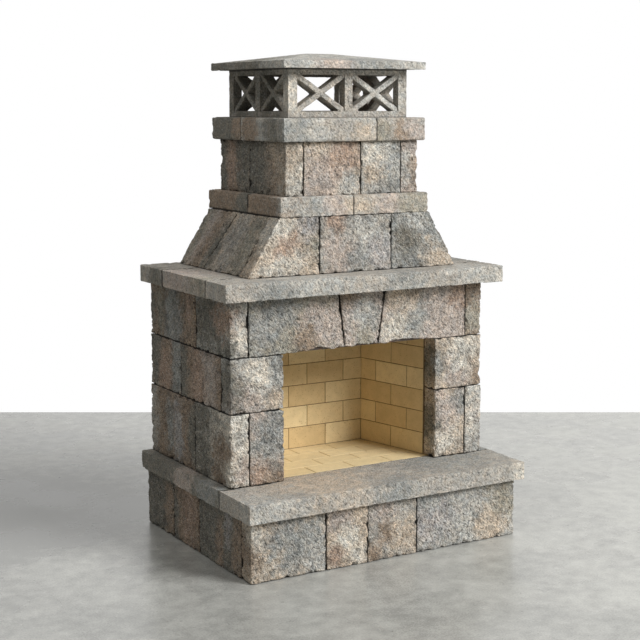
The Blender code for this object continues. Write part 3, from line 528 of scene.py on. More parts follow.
def cast_stone(name, contrast, sand_size, bump_depth, flecks, shade):
    """A stone finish: strength and size of its grain, share of pale grains, painted shade in its
    hollows.
    """
    made, nodes, shader = new_material(name, specular=0.3)
    place = nodes.own_place()
    sloping = combed(nodes, place)
    clouds = place.noise(CLOUD, 4, 0.6)
    hue = place.noise(HUE, 3, 0.65)
    spots = sloping.noise(SPOT, 3, 0.7)
    sand = sloping.noise(sand_size, 2, 0.8)
    crumb = sloping.cells(CRUMB, 1).parts()[0]
    colour = nodes.attribute("pigment", "Color") * clouds.rise(0.28, 0.72, 0.86, 1.14)
    colour = colour * nodes.mix(hue.rise(0.34, 0.66), COOL, WARM)
    colour = colour * spots.rise(0.26, 0.66, 1 - 0.19 * contrast, 1 + 0.12 * contrast)
    colour = colour * sand.rise(0.28, 0.62, 1 - 0.46 * contrast, 1 + 0.20 * contrast)
    colour = colour * (crumb * (0.84 * contrast) + (1 - 0.42 * contrast))
    fleck = sloping.cells(FLECK, 1).parts()[0]
    near = sloping.cells(FLECK).rise(0.45, 0.30)
    pale = fleck.rise(1 - flecks, 1.02 - flecks) * near
    colour = nodes.mix(pale * 0.45, colour, linear(PALE_GRAIN))
    pits = sloping.noise(PIT, 2, 0.55).rise(0.41, 0.33)
    colour = colour * (1 - pits * (0.62 * contrast))
    # Painted shade: the deep parts of the face are darkened, as if less light reached them.
    colour = colour * (1 - nodes.attribute("hollow").rise(0.45, 1.0) * shade)
    # On the stones and slabs this mark is wear: it lightens the rubbed arrises.
    colour = colour * (1 + nodes.attribute("worn") * 0.08)
    # Painted shade: the face darkened where it turns in towards a neighbouring piece.
    colour = colour * (1 - nodes.attribute("joint") * 0.88)
    height = sand * 0.7 + spots * 0.75 - pits * 0.3
    nodes.surface(shader, colour, spots.rise(0.3, 0.7, 0.86, 0.97), height, bump_depth)
    return made


# %% Mix the three stones
STONE = {
    "block_stone": cast_stone("split_block_stone", 1.0, 0.0062, 0.0085, 0.18, 0.45),
    "slab_stone": cast_stone("hammered_slab_stone", 0.75, 0.0060, 0.0045, 0.12, 0.35),
    "vent_stone": cast_stone("cast_vent_stone", 0.80, 0.0060, 0.0040, 0.12, 0.30),
}
print("stone finishes:", sorted(made.name for made in STONE.values()))

# %% [markdown]
# ## Poured colours inside a geometry tree
# Geometry Nodes work the patches out in each stone's own coordinates and store them on its
# points. A patch is a ball round its place whose border is pushed about by noise. A streak
# below 1 draws it out upwards, as the concrete ran in the moulds of the side stones.

# %% Start and end a geometry tree
TREE_INPUTS = {}


def geometry_tree(name, inputs):
    """A new tree with named inputs: its node writer and its input wires."""
    tree = bpy.data.node_groups.new(name, "GeometryNodeTree")
    face = tree.interface
    face.new_socket("Geometry", in_out="INPUT", socket_type="NodeSocketGeometry")
    TREE_INPUTS[name] = {}
    for label, kind in inputs.items():
        socket = face.new_socket(label, in_out="INPUT", socket_type="NodeSocket" + kind)
        TREE_INPUTS[name][label] = socket.identifier
    face.new_socket("Geometry", in_out="OUTPUT", socket_type="NodeSocketGeometry")
    nodes = Nodes(tree)
    source = tree.nodes.new("NodeGroupInput")
    return nodes, {s.name: Wire(nodes, s) for s in source.outputs if s.name}


def end_tree(nodes, geometry, finish):
    real = nodes.add("GeometryNodeRealizeInstances", {0: geometry})
    done = nodes.add("GeometryNodeSetMaterial", {"Geometry": real, "Material": finish})
    nodes.add("NodeGroupOutput", {0: done})
    return nodes.tree


def keep(nodes, geometry, name, value, kind="FLOAT", domain="POINT"):
    """Store a value on the points or faces, for the material."""
    given = {"Geometry": geometry, "Name": name, "Value": value}
    stored = "GeometryNodeStoreNamedAttribute"
    return nodes.add(stored, given, data_type=kind, domain=domain)


# %% Run a tree and keep its result
def baked(thing, tree, values):
    """The object's mesh becomes what the tree makes of it, and the modifier goes."""
    step = thing.modifiers.new(tree.name, "NODES")
    step.node_group = tree
    for label, value in values.items():
        step[TREE_INPUTS[tree.name][label]] = value
    settled(thing)


def settled(thing):
    """Modifiers turned into a plain mesh."""
    graph = bpy.context.evaluated_depsgraph_get()
    made = thing.evaluated_get(graph)
    mesh = bpy.data.meshes.new_from_object(made, preserve_all_data_layers=True, depsgraph=graph)
    thing.modifiers.clear()
    old = thing.data
    thing.data = mesh
    if not old.users:
        bpy.data.meshes.remove(old)


# %% Pour the patches
COAT_INPUTS = {"Ground": "Color"}
for n in range(1, PATCHES + 1):
    COAT_INPUTS.update({f"Patch {n}": "Color", f"Place {n}": "Vector", f"Reach {n}": "Float"})
COAT_INPUTS.update({"Streak": "Vector", "Seed": "Float", "Material": "Material"})
SEED_DRIFT = (1.37, 0.71, 2.13)


def poured(nodes, given, place, seeded):
    """The colour of each point from the ground and the patches."""
    colour = given["Ground"]
    wander = seeded.noise(0.085, 3, 0.6, 1) - (0.5, 0.5, 0.5)
    fray = seeded.noise(0.024, 3, 0.65) - 0.5
    for n in range(1, PATCHES + 1):
        away = (place - given[f"Place {n}"]) * given["Streak"] / given[f"Reach {n}"]
        far = (away + wander * 2.0).size() + fray * 1.5
        colour = nodes.mix(far.rise(1.45, 0.45), colour, given[f"Patch {n}"])
    return colour


def coated(nodes, given, place, seeded, moved, **wear_and_painted_shade):
    """The points moved, with their pigment, their wear and their painted shade stored for the material,
    as a tree.
    """
    inputs = {"Geometry": given["Geometry"], "Position": moved}
    geometry = nodes.add("GeometryNodeSetPosition", inputs)
    colour = poured(nodes, given, place, seeded)
    geometry = keep(nodes, geometry, "pigment", colour, "FLOAT_COLOR")
    for name, value in wear_and_painted_shade.items():
        geometry = keep(nodes, geometry, name, value)
    return end_tree(nodes, geometry, given["Material"])


def paint_values(name, low, high):
    """The tree's colour inputs for a piece that fills this box."""
    ground, patches = paint_of(name)
    values = {"Ground": (*linear(PIGMENTS[ground]), 1)}
    patches = patches + [(ground, (0.5, 0.5, 0.5), 0.001)] * (PATCHES - len(patches))
    for n, (pigment, shares, reach) in enumerate(patches, 1):
        values[f"Patch {n}"] = (*linear(PIGMENTS[pigment]), 1)
        values[f"Place {n}"] = tuple(a + (b - a) * s for a, b, s in zip(low, high, shares))
        values[f"Reach {n}"] = reach
    return values


print("inputs for the coat:", len(COAT_INPUTS))

# %% [markdown]
# ## Tumbled split stones
# Some sixty stones follow one rule: a block, split on the faces that show, then tumbled, so
# that its arrises are rounded and chipped. Each starts as a closed box with a fine lattice
# on the showing faces and 20 mm round their corners, and one large face for each side that
# nobody sees. Fine points everywhere would double the size of the model.

# %% Make the blank of a stone
RIM_STATIONS = (0.0, 0.0025, 0.006, 0.0115, 0.020)
RIM = RIM_STATIONS[-1]
SIDES = {  # the axis of each side, and 1 for its high end
    "left": (0, 0), "right": (0, 1), "front": (1, 0), "rear": (1, 1), "bottom": (2, 0), "top": (2, 1),
}


def stations(length, step, fine, low_rim, high_rim):
    """Places of the lattice along one side of a box."""
    low = list(RIM_STATIONS) if fine or low_rim else [0.0]
    high = [length - s for s in reversed(RIM_STATIONS)] if fine or high_rim else [length]
    if not fine:
        return low + high
    count = max(1, round((high[0] - low[-1]) / step))
    inner = np.linspace(low[-1], high[0], count + 1)[1:-1]
    return low + [float(v) for v in inner] + high


def blank(name, size, shown, step):
    """A closed box at the origin, finely divided where it shows."""
    seen = {SIDES[face] for face in shown}
    lines = []
    for axis in range(3):
        fine = any(a != axis for a, _ in seen)
        lines.append(stations(size[axis], step, fine, (axis, 0) in seen, (axis, 1) in seen))
    rim = len(RIM_STATIONS) - 1
    index, points, faces = {}, [], []

    def point(key):
        if key not in index:
            index[key] = len(points)
            points.append([lines[a][key[a]] - size[a] / 2 for a in range(3)])
        return index[key]

    for axis in range(3):
        a, b = (axis + 1) % 3, (axis + 2) % 3
        last_a, last_b = len(lines[a]) - 1, len(lines[b]) - 1
        for end in (0, 1):
            fixed = end * (len(lines[axis]) - 1)

            def face(places):
                ring = []
                for u, v in places:
                    key = [0, 0, 0]
                    key[axis], key[a], key[b] = fixed, u, v
                    ring.append(point(tuple(key)))
                faces.append(ring if end else ring[::-1])

            hidden = (axis, end) not in seen
            u0, u1 = rim * ((a, 0) in seen), last_a - rim * ((a, 1) in seen)
            v0, v1 = rim * ((b, 0) in seen), last_b - rim * ((b, 1) in seen)
            for u in range(last_a):
                for v in range(last_b):
                    if hidden and u0 <= u < u1 and v0 <= v < v1:
                        continue
                    face([(u, v), (u + 1, v), (u + 1, v + 1), (u, v + 1)])
            if hidden:
                ring = [(u, v0) for u in (range(u0, u1) if v0 else (u0,))]
                ring += [(u1, v) for v in (range(v0, v1) if u1 < last_a else (v0,))]
                ring += [(u, v1) for u in (range(u1, u0, -1) if v1 < last_b else (u1,))]
                ring += [(u0, v) for v in (range(v1, v0, -1) if u0 else (v1,))]
                face(ring)
    mesh = mesh_of(name, points, faces)
    near = np.zeros(len(points))
    grid = np.array(points)
    for axis, end in seen:
        away = grid[:, axis] + size[axis] / 2 if not end else size[axis] / 2 - grid[:, axis]
        near = np.maximum(near, 1 - away / RIM)
    mesh.attributes.new("shown", "FLOAT", "POINT").data.foreach_set("value", near.clip(0, 1))
    return mesh


print("places along a metre:", len(stations(1, 0.01, True, False, False)))

# %% [markdown]
# The tree first rounds the box: each point is pulled onto a ball or roller of the arris
# radius, which itself varies. Then three sizes of noise push the face in and out round its
# plane, as a split leaves it. Towards an arris they only push in, and more where a chip is
# missing, so no stone reaches into its neighbour. The stones of the arch have a ragged
# lower edge where nothing stands under them: there the foot of the face is lifted by
# notches, and the underside keeps flat beside them.

# %% Write the tree of a tumbled stone
CHIP_REACH, CHIP_DEPTH = 0.030, 0.009
WAVER_DEPTH = 0.013  # how far an arris strays from its line
NOTCH_HEIGHT = 0.07  # how far up the face the notches of the underside are felt
FADE_IN = 50.0  # the notches reach their full depth over a fiftieth of a metre

nodes, given = geometry_tree("tumbled stone", {
    "Size": "Vector", "Arris": "Float", "Relief": "Float", "Setback": "Float",
    "Free Underside": "Vector", **COAT_INPUTS,
})
place = nodes.add("GeometryNodeInputPosition")
shown = nodes.add("GeometryNodeInputNamedAttribute", {"Name": "shown"}, data_type="FLOAT")
seeded = place + given["Seed"] * SEED_DRIFT
half = given["Size"] * 0.5


def inside(margin):
    """The nearest point of a box that is smaller by this margin all round."""
    reach = half - margin
    return place.least(reach).most(reach * -1.0)


arris = given["Arris"] * (seeded.noise(0.05, 3) * 2.2)
waver = seeded.noise(0.036, 2, 0.6) - 0.5
core = inside(arris)
rounded = core + (place - core).unit() * arris
outward = (place - inside(CHIP_REACH)).unit()
gaps = (half - place.positive()).parts()
edge = gaps[0].least(gaps[1]).most(gaps[0].most(gaps[1]).least(gaps[2]))
broad = seeded.noise(0.16, 1).rise(0.32, 0.68)
lumps = seeded.noise(0.042, 3, 0.6).rise(0.28, 0.72)
grit = seeded.noise(0.013, 2, 0.65)
chips = edge.rise(0.026, 0.004) * seeded.noise(0.034, 2).rise(0.52, 0.65)
depth = broad * 0.28 + lumps * 0.44 + grit * 0.40
full = edge.rise(0.0005, 0.011)
fall = given["Setback"] + given["Relief"] * (depth * (full * 0.7 + 0.3) - full * 0.42)
fall = fall + chips * CHIP_DEPTH + (1 - full) * waver * WAVER_DEPTH
start, stop, raggedness = given["Free Underside"].parts()
across, up = place.parts()[0], place.parts()[2] + half.parts()[2]
free = ((across - start) * FADE_IN).least((stop - across) * FADE_IN).least(1.0).most(0.0)
notches = (seeded * (1.0, 0.0, 1.0)).noise(0.055, 3, 0.6).rise(0.34, 0.66)
lift = up.rise(NOTCH_HEIGHT, 0.0) * notches * free * raggedness * shown
flatter = (raggedness * 60.0).least(0.8)
fall = fall * (1 - up.rise(0.010, 0.002) * flatter)
moved = rounded - outward * (fall * shown) + lift * (0.0, 0.0, 1.0)
STONE_TREE = coated(
    nodes, given, place, seeded, moved,
    # Painted shade in the deep parts of the face and in the chips.
    hollow=depth + chips * 0.3 - 0.05,
    # Painted shade where the face turns in towards the neighbouring stones.
    joint=shown.rise(0.97, 0.70),
    # Wear of the rubbed arrises.
    worn=edge.rise(0.014, 0.002) * depth.rise(0.6, 0.3),
)
print("the stone tree has", len(STONE_TREE.nodes), "nodes")

# %% Corners of a stone, read from the frame
ORDER = ((0, 0, 0), (1, 0, 0), (1, 1, 0), (0, 1, 0), (0, 0, 1), (1, 0, 1), (1, 1, 1), (0, 1, 1))
EDGES = (  # pairs of corners along x, y and z
    ((0, 1), (3, 2), (4, 5), (7, 6)),
    ((0, 3), (1, 2), (4, 7), (5, 6)),
    ((0, 4), (1, 5), (2, 6), (3, 7)),
)


def corners_of(node, x=(0, 1), z=(0, 1)):
    """Eight corners of a CAD node's box, or of a share of it."""
    low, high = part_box(node)
    spans = []
    for a, shares in enumerate((x, (0, 1), z)):
        spans.append([low[a] + (high[a] - low[a]) * s for s in shares])
    return [tuple(spans[a][end] for a, end in enumerate(ends)) for ends in ORDER]


def sheared(base_x, top_x, base_y, top_y, z):
    """Eight corners of a leaning stone, from its reach at the base and at the top."""
    corners = []
    for ends in ORDER:
        x, y = (top_x, top_y) if ends[2] else (base_x, base_y)
        corners.append((x[ends[0]], y[ends[1]], z[ends[2]]))
    return corners


def mirrored(corners):
    """The same stone on the right of the fireplace."""
    flip = [(-x, y, z) for x, y, z in corners]
    return [flip[n] for n in (1, 0, 3, 2, 5, 4, 7, 6)]


def neighbours(cuts):
    return list(zip(cuts[:-1], cuts[1:]))


print("first corner of the keystone:", [round(c, 3) for c in corners_of("keystone")[0]])

# %% Fit and hand over
SWELL = {  # how far the outer faces stand out over the CAD faces, in metres
    "lower": 0.008, "middle": 0.006, "upper": 0.002, "lintel": 0.002,
    "keystone": 0.001, "hood": 0.003, "chimney": 0.006,
}
USUAL_SWELL = 0.005
REAR_SWELL = -0.004
made_pieces = []


def swollen(corners, shown, amount):
    """The corners with the outer faces moved out a little, but within the CAD box."""
    corners = np.array(corners, float)
    centre = corners.mean(0)
    for face in shown:
        axis, end = SIDES[face]
        outer = face in ("front", "rear") or (axis == 0 and (centre[0] > 0) == bool(end))
        if outer:
            moving = [n for n, ends in enumerate(ORDER) if ends[axis] == end]
            shift = REAR_SWELL if face == "rear" else amount
            corners[moving, axis] += shift if end else -shift
    return in_cad_box(corners)


def in_cad_box(points):
    return np.clip(points, *np.array(cad_box))


def points_of(mesh):
    flat = np.empty(len(mesh.vertices) * 3, np.float32)
    mesh.vertices.foreach_get("co", flat)
    return flat.reshape(-1, 3).astype(float)


def place_points(mesh, points):
    mesh.vertices.foreach_set("co", points.astype(np.float32).ravel())
    mesh.update()


def hand_over(thing, node):
    """The piece on the root body, with the CAD node that it stands for hidden."""
    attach(thing, "root")
    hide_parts(node)
    made_pieces.append(thing)


# %% Dress one stone
SEEN_STEP, BACK_STEP = 0.0055, 0.0080  # the lattice in view and at the back
OPENING_HALF = 0.452
RAGGEDNESS = 0.017
FRONT_STREAK, SIDE_STREAK = (1.0, 0.8, 0.9), (1.2, 1.2, 0.4)


def dress_stone(name, shown, corners=None, node=None, back=False):
    """A tumbled stone, by default in the corners and in place of the CAD node of its name."""
    node = node or name
    swell = SWELL.get(name.split("_")[0], USUAL_SWELL)
    corners = swollen(corners or corners_of(node), shown, swell)
    size = []
    for pairs in EDGES:
        size.append(float(np.mean([np.linalg.norm(corners[b] - corners[a]) for a, b in pairs])))
    step = (BACK_STEP if back else SEEN_STEP) * 1
    thing = placed("dressed_" + name, blank(name, size, shown, step))
    dice = random.Random("stone " + name)
    half = [s / 2 for s in size]
    underside = (0.0, 0.0, 0.0)
    if "bottom" in shown:
        middle = float(np.mean(corners[:, 0]))
        underside = (-OPENING_HALF - middle, OPENING_HALF - middle, RAGGEDNESS)
    baked(thing, STONE_TREE, {
        **paint_values(name, [-h for h in half], half),
        "Size": size,
        "Arris": dice.uniform(0.0042, 0.0068),
        "Relief": dice.uniform(0.0165, 0.0210),
        "Setback": dice.uniform(-0.0010, 0.0015),
        "Seed": dice.uniform(0, 40),
        "Free Underside": underside,
        "Streak": FRONT_STREAK if "front" in shown else SIDE_STREAK,
        "Material": STONE["block_stone"],
    })
    shares = points_of(thing.data) / np.array(size) + 0.5
    fitted = np.zeros_like(shares)
    for corner, ends in zip(corners, ORDER):
        weight = np.prod([shares[:, a] if ends[a] else 1 - shares[:, a] for a in range(3)], 0)
        fitted += weight[:, None] * corner
    place_points(thing.data, in_cad_box(fitted))
    thing.data.shade_smooth()
    hand_over(thing, node)


def dress_pair(node, extra, joined, back=True, corners=None):
    """A stone of the left side, and its mirror image in place of part of a joined node."""
    corners = corners or corners_of(node)
    dress_stone(node, ["left"] + extra, corners)
    twin = node.replace("_left_", "_right_")
    dress_stone(twin, ["right"] + extra, mirrored(corners), joined, back)


def dress_row(name, joined, shares, z=(0, 1)):
    """A row of stones at the back, cut at these shares of a joined CAD node."""
    for n, span in enumerate(neighbours([0, *shares, 1]), 1):
        dress_stone(f"{name}_{n}", ["rear"], corners_of(joined, x=span, z=z), joined, True)


print("stones swell by up to", max(SWELL.values()), "m")

# %% [markdown]
# ### The plinth
# Four blocks across the front and three down each side. The CAD model joins the blocks of
# the right side and of the back into one solid each; here every one is a stone of its own.

# %% Dress the plinth
for n, corner_side in enumerate((["left"], [], [], ["right"]), 1):
    dress_stone(f"plinth_front_block_{n}", ["front"] + corner_side)
for n, extra in enumerate(([], [], ["rear"]), 1):
    dress_pair(f"plinth_left_block_{n}", extra, "plinth_right_blocks")
dress_row("plinth_rear_block", "plinth_rear_blocks", (0.34, 0.67))
print(len(made_pieces), "stones so far")

# %% [markdown]
# ### The wall
# Three courses. At the opening the stones also show the jamb, and the three stones over
# it, a flat arch with a keystone, show their undersides. The corners of the keystone lean,
# so they are given here rather than read from its box.

# %% Dress the front of the wall
KEY_LOW, KEY_HIGH = 0.197 / 2, 0.282 / 2  # half the keystone's width
JOINT = 0.0009
LEAN_EASE = 0.006  # keeps the keystone's left face off its neighbour at the top

for side, jamb in (("left", "right"), ("right", "left")):
    dress_stone(f"lower_{side}_pier_block", ["front", jamb])
    dress_stone(f"middle_{side}_pier_block", ["front", side, jamb])
low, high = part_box("lintel_left_stone")
reach = -low.x
for node, base, top in (
    ("lintel_left_stone", (-reach, -KEY_LOW - JOINT), (-reach, -KEY_HIGH - JOINT)),
    ("keystone", (-KEY_LOW + JOINT, KEY_LOW), (-KEY_HIGH + JOINT + LEAN_EASE, KEY_HIGH)),
    ("lintel_right_stone", (KEY_LOW + JOINT, reach), (KEY_HIGH + JOINT, reach)),
):
    y = (low.y, high.y)
    dress_stone(node, ["front", "bottom"], sheared(base, top, y, y, (low.z, high.z)))
print(len(made_pieces), "stones so far")

# %% Dress the sides and the back of the wall
REAR_CUTS = ((0.31, 0.66), (0.17, 0.5, 0.83), (0.34, 0.69))

for course in ("lower", "middle", "upper"):
    for end in ("front", "rear"):
        extra = [] if (course, end) == ("middle", "front") else [end]
        node = f"{course}_left_side_{end}_block"
        dress_pair(node, extra, "wall_right_blocks", back=end == "rear")
feet = ("lower_left_pier_block", "middle_left_pier_block", "keystone")
levels = [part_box(node)[0].z for node in feet] + [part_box("wall_rear_blocks")[1].z]
heights = [(level - levels[0]) / (levels[-1] - levels[0]) for level in levels]
for row, (cuts, span) in enumerate(zip(REAR_CUTS, neighbours(heights)), 1):
    dress_row(f"wall_rear_{row}", "wall_rear_blocks", cuts, span)
print(len(made_pieces), "stones so far")

# %% [markdown]
# ### The hood and the chimney
# The hood's sides lean in, so its stones are boxes sheared to fit: the joints between the
# front stones stay upright while the outer ends follow the slope.

# %% Dress the hood
HOOD_HALVES = (0.617, 0.443)  # half the hood's width, at the base and at the top
FRONT_JOINTS, REAR_JOINTS = (0.258, 0.738), (0.36, 0.66)
SIDE_JOINT = (0.59, 0.50)  # shares of the side's depth, at the base and at the top
BLOCK = 0.100

hood_low, hood_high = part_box("hood_front_middle_block")
hood_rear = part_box("hood_rear_blocks")[1].y
hood_z = (hood_low.z, hood_high.z)


def hood_row(inset, joints, y):
    """The corners of stones side by side, each end this far inside the hood's slope."""
    inner = HOOD_HALVES[1] - inset
    cuts = [-inner + 2 * inner * share for share in joints]
    spans = [neighbours([-half + inset, *cuts, half - inset]) for half in HOOD_HALVES]
    return [sheared(base, top, y, y, hood_z) for base, top in zip(*spans)]


row = hood_row(0, FRONT_JOINTS, (hood_low.y, hood_high.y))
for side, extra, corners in zip(("left", "middle", "right"), (["left"], [], ["right"]), row):
    dress_stone(f"hood_front_{side}_block", ["front"] + extra, corners)
run = hood_rear - hood_high.y
ends_x = [(-half, -half + BLOCK) for half in HOOD_HALVES]
cuts_y = [[hood_high.y, hood_high.y + run * share, hood_rear] for share in SIDE_JOINT]
for n, (end, extra) in enumerate((("front", []), ("rear", ["rear"]))):
    corners = sheared(*ends_x, *(cuts[n:n + 2] for cuts in cuts_y), hood_z)
    dress_pair(f"hood_left_{end}_block", extra, "hood_right_blocks", corners=corners)
for n, corners in enumerate(hood_row(BLOCK, REAR_JOINTS, (hood_rear - BLOCK, hood_rear)), 1):
    dress_stone(f"hood_rear_block_{n}", ["rear"], corners, "hood_rear_blocks", True)
print(len(made_pieces), "stones so far")

# %% Dress the chimney
for side in ("left", "right"):
    dress_stone(f"chimney_front_{side}_block", ["front"])
for end in ("front", "rear"):
    node = f"chimney_left_{end}_block"
    dress_pair(node, [end], "chimney_right_blocks", back=end == "rear")
dress_row("chimney_rear_block", "chimney_rear_blocks", (0.45,))
print(len(made_pieces), "stones,", sum(len(p.data.polygons) for p in made_pieces), "faces")

# %% [markdown]
# ## Slabs, vent and cap
# These are cast, not split: flat with a hammered skin and rubbed edges, finer on the vent
# and the cap. Their outlines are notched round the flue and the firebox, so each starts as
# a copy of its CAD solid. A sharp remesh gives it even faces, and a geometry tree lays the
# skin on what is clear of the neighbours. Bedded parts stay flat, and what is flat is then
# merged into a few large faces again.

# %% Write the tree of a hammered surface
BLUR_STEPS = 4

nodes, given = geometry_tree("hammered surface", {
    "Relief": "Float", "Chips": "Float", "Swell": "Vector", "Crisp": "Float",
    "Neighbours": "Object", **COAT_INPUTS,
})
place = nodes.add("GeometryNodeInputPosition")
seeded = place + given["Seed"] * SEED_DRIFT
normal = nodes.add("GeometryNodeInputNormal")
around = {"Value": normal, "Iterations": BLUR_STEPS}
blurred = nodes.add("GeometryNodeBlurAttribute", around, data_type="FLOAT_VECTOR")
bend = (normal - blurred).size()
peak = blurred.size().rise(0.94, 0.82)
others = nodes.add("GeometryNodeObjectInfo", {"Object": given["Neighbours"]}, "Geometry")
reach = nodes.add("GeometryNodeProximity", {0: others}, "Distance", target_element="FACES")
clear = reach.rise(0.0012, 0.006)
broad = seeded.noise(0.11, 2)
lumps = seeded.noise(0.030, 3, 0.6).rise(0.3, 0.7)
grit = seeded.noise(0.011, 1)
arris = bend.rise(0.03, 0.16)
chips = arris * seeded.noise(0.040, 2).rise(0.50, 0.66)
depth = broad * 0.35 + lumps * 0.35 + grit * 0.30
fall = given["Relief"] * depth + given["Chips"] * chips - given["Crisp"] * peak
moved = place - normal * (fall * clear) + normal * given["Swell"] * clear
SLAB_TREE = coated(
    nodes, given, place, seeded, moved,
    # Painted shade in the deep parts of the skin.
    hollow=depth - 0.05,
    # Painted shade where the skin comes near a neighbouring piece.
    joint=reach.rise(0.010, 0.002),
    # Wear of the rubbed arrises.
    worn=arris * depth.rise(0.65, 0.4),
)
print("the slab tree has", len(SLAB_TREE.nodes), "nodes")

# %% Copy CAD solids as whole meshes
SAME_POINT = 1e-5


def merged_copy(names, title):
    """One object with the named CAD solids, their doubled points merged."""
    points, faces = [], []
    for node in names:
        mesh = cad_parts[node].data
        start = sum(len(block) for block in points)
        points.append(points_of(mesh))
        faces += [[start + v for v in polygon.vertices] for polygon in mesh.polygons]
    keys = np.round(np.concatenate(points) / SAME_POINT).astype(np.int64)
    keys, back = np.unique(keys, axis=0, return_inverse=True)
    back = back.ravel()
    rings = []
    for ring in faces:
        ring = [int(back[v]) for v in ring]
        if len(set(ring)) == len(ring):
            rings.append(ring)
    return placed(title, mesh_of(title, (keys * SAME_POINT).tolist(), rings))


# %% Dress one casting
CREASE = math.radians(34)
SAME_PLANE = math.radians(0.4)
REMESH_FILL = 0.99  # the share of the remesher's cube that a scale of 1 fills


def dress_casting(node, slot, cell, relief, chips, swell, crisp):
    """A cast piece with a worked skin, in place of a CAD node of the same shape."""
    others = merged_copy([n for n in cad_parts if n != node], "neighbours")
    thing = merged_copy([node], "dressed_" + node)
    low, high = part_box(node)
    longest = max(high - low)
    cell *= 1
    step = thing.modifiers.new("even faces", "REMESH")
    step.mode = "SHARP"
    step.octree_depth = math.ceil(math.log2(longest / cell / REMESH_FILL))
    step.scale = longest / cell / 2 ** step.octree_depth
    step.use_remove_disconnected = False
    settled(thing)
    place_points(thing.data, np.clip(points_of(thing.data), low, high))
    baked(thing, SLAB_TREE, {
        **paint_values(node, low, high),
        "Relief": relief, "Chips": chips, "Swell": swell, "Crisp": crisp,
        "Seed": random.Random("casting " + node).uniform(0, 40),
        "Streak": (1.0, 1.0, 1.0), "Neighbours": others, "Material": STONE[slot],
    })
    place_points(thing.data, in_cad_box(points_of(thing.data)))
    thin = thing.modifiers.new("merge flat", "DECIMATE")
    thin.decimate_type = "DISSOLVE"
    thin.angle_limit = SAME_PLANE
    settled(thing)
    bpy.data.objects.remove(others)
    thing.data.shade_smooth()
    thing.data.set_sharp_from_angle(angle=CREASE)
    hand_over(thing, node)
    print(node, len(thing.data.polygons), "faces")


# %% Dress the slabs, the vent and the cap
SLAB = ("slab_stone", 0.0062, 0.0034, 0.0036)  # slot, lattice, relief and chips in metres
BELT = ("slab_stone", 0.0058, 0.0048, 0.0045)
BELT_PARTS, BELT_SWELL = ("front_left", "front_right", "rear"), (0.006, 0.006, 0.006)
CASTINGS = (  # node, its parts, its grain, the swell of its faces, how far corners stand out
    ("hearth_{}_slab", ("front", "left", "right", "rear"), SLAB, (0.0, 0.0, 0.0015), 0.0025),
    ("mantel_{}_slab", ("front", "middle", "rear"), SLAB, (0.0, 0.002, 0.0018), 0.0025),
    ("band_{}_slab", BELT_PARTS, BELT, BELT_SWELL, 0.0),
    ("crown_{}_slab", BELT_PARTS, BELT, BELT_SWELL, 0.0),
    ("lattice_vent", ("",), ("vent_stone", 0.0055, 0.0014, 0.0016), (0.0, 0.0, 0.0), 0.0010),
    ("cap", ("",), ("vent_stone", 0.0058, 0.0026, 0.0035), (0.0035, 0.0015, 0.0), 0.0025),
)
for node, parts, grain, swell, crisp in CASTINGS:
    for part in parts:
        dress_casting(node.format(part), *grain, swell, crisp)

# %% [markdown]
# ## The firebox
# Yellow firebricks, 230 mm long, in a running bond with thin joints. The pattern is a rule,
# so a small function lays out the flat faces of the bricks on each wall, and a geometry
# tree turns each face into a brick: it raises it by its own small amount, eases its edges
# and closes it behind. The mortar is a plain slab 3 mm behind the brick faces.

# %% Mix brick and mortar
def firebrick():
    made, nodes, shader = new_material("pale_firebrick", specular=0.3)
    place = nodes.own_place()
    clouds = place.noise(0.05, 4, 0.6)
    sand = place.noise(0.004, 2, 0.7)
    tone = nodes.attribute("tone")
    colour = nodes.mix(tone, linear((209, 183, 136)), linear((231, 210, 165)))
    colour = colour * clouds.rise(0.25, 0.75, 0.92, 1.05)
    stain = place.noise(0.09, 4, 0.65).rise(0.58, 0.75, 0.0, 0.25)
    colour = nodes.mix(stain, colour, linear((188, 156, 108)))
    speck = place.noise(0.006, 1).rise(0.66, 0.72)
    colour = nodes.mix(speck * 0.5, colour, linear((150, 112, 70)))
    roughness = sand.rise(0.3, 0.7, 0.82, 0.95)
    nodes.surface(shader, colour, roughness, sand + clouds, 0.0012, 0.8)
    return made


def plain_mineral(name, dark, light, lump, grit, bump_depth):
    """A mottled matt material: mortar, rough concrete or fired clay."""
    made, nodes, shader = new_material(name)
    place = nodes.own_place()
    clouds = place.noise(lump, 4, 0.6)
    sand = place.noise(grit, 3, 0.65)
    tone = (clouds * 0.6 + sand * 0.4).rise(0.36, 0.64)
    colour = nodes.mix(tone, linear(dark), linear(light))
    roughness = sand.rise(0.3, 0.7, 0.85, 0.95)
    nodes.surface(shader, colour, roughness, sand + clouds * 0.5, bump_depth)
    return made


FIREBRICK = firebrick()
MORTAR = plain_mineral("thin_mortar", (112, 92, 66), (146, 122, 88), 0.05, 0.003, 0.001)
print("brick and mortar mixed")

# %% Write the tree that makes bricks of flat faces
TOP_SHARE = 0.985  # the face of a brick against its body
MERGE_REACH = 0.00001

nodes, given = geometry_tree("laid bricks", {
    "Body": "Float", "Uneven": "Float", "Ease": "Float", "Paler": "Float", "Seed": "Int",
    "Material": "Material",
})


def extruded(geometry, selection, rise):
    inputs = {"Mesh": geometry, "Offset Scale": rise, "Individual": True}
    if selection:
        inputs["Selection"] = selection
    node = nodes.add("GeometryNodeExtrudeMesh", inputs, mode="FACES").socket.node
    return Wire(nodes, node.outputs["Mesh"]), Wire(nodes, node.outputs["Top"])


def chance(low, high):
    """A number of its own for each face."""
    drawn = {"Min": low, "Max": high, "ID": nodes.add("GeometryNodeInputIndex"), "Seed": given["Seed"]}
    node = nodes.tree.nodes.new("FunctionNodeRandomValue")
    node.data_type = "FLOAT"
    for socket in node.inputs:
        if socket.enabled and socket.name in drawn:
            nodes.feed(socket, drawn[socket.name])
    return Wire(nodes, [s for s in node.outputs if s.enabled][0])


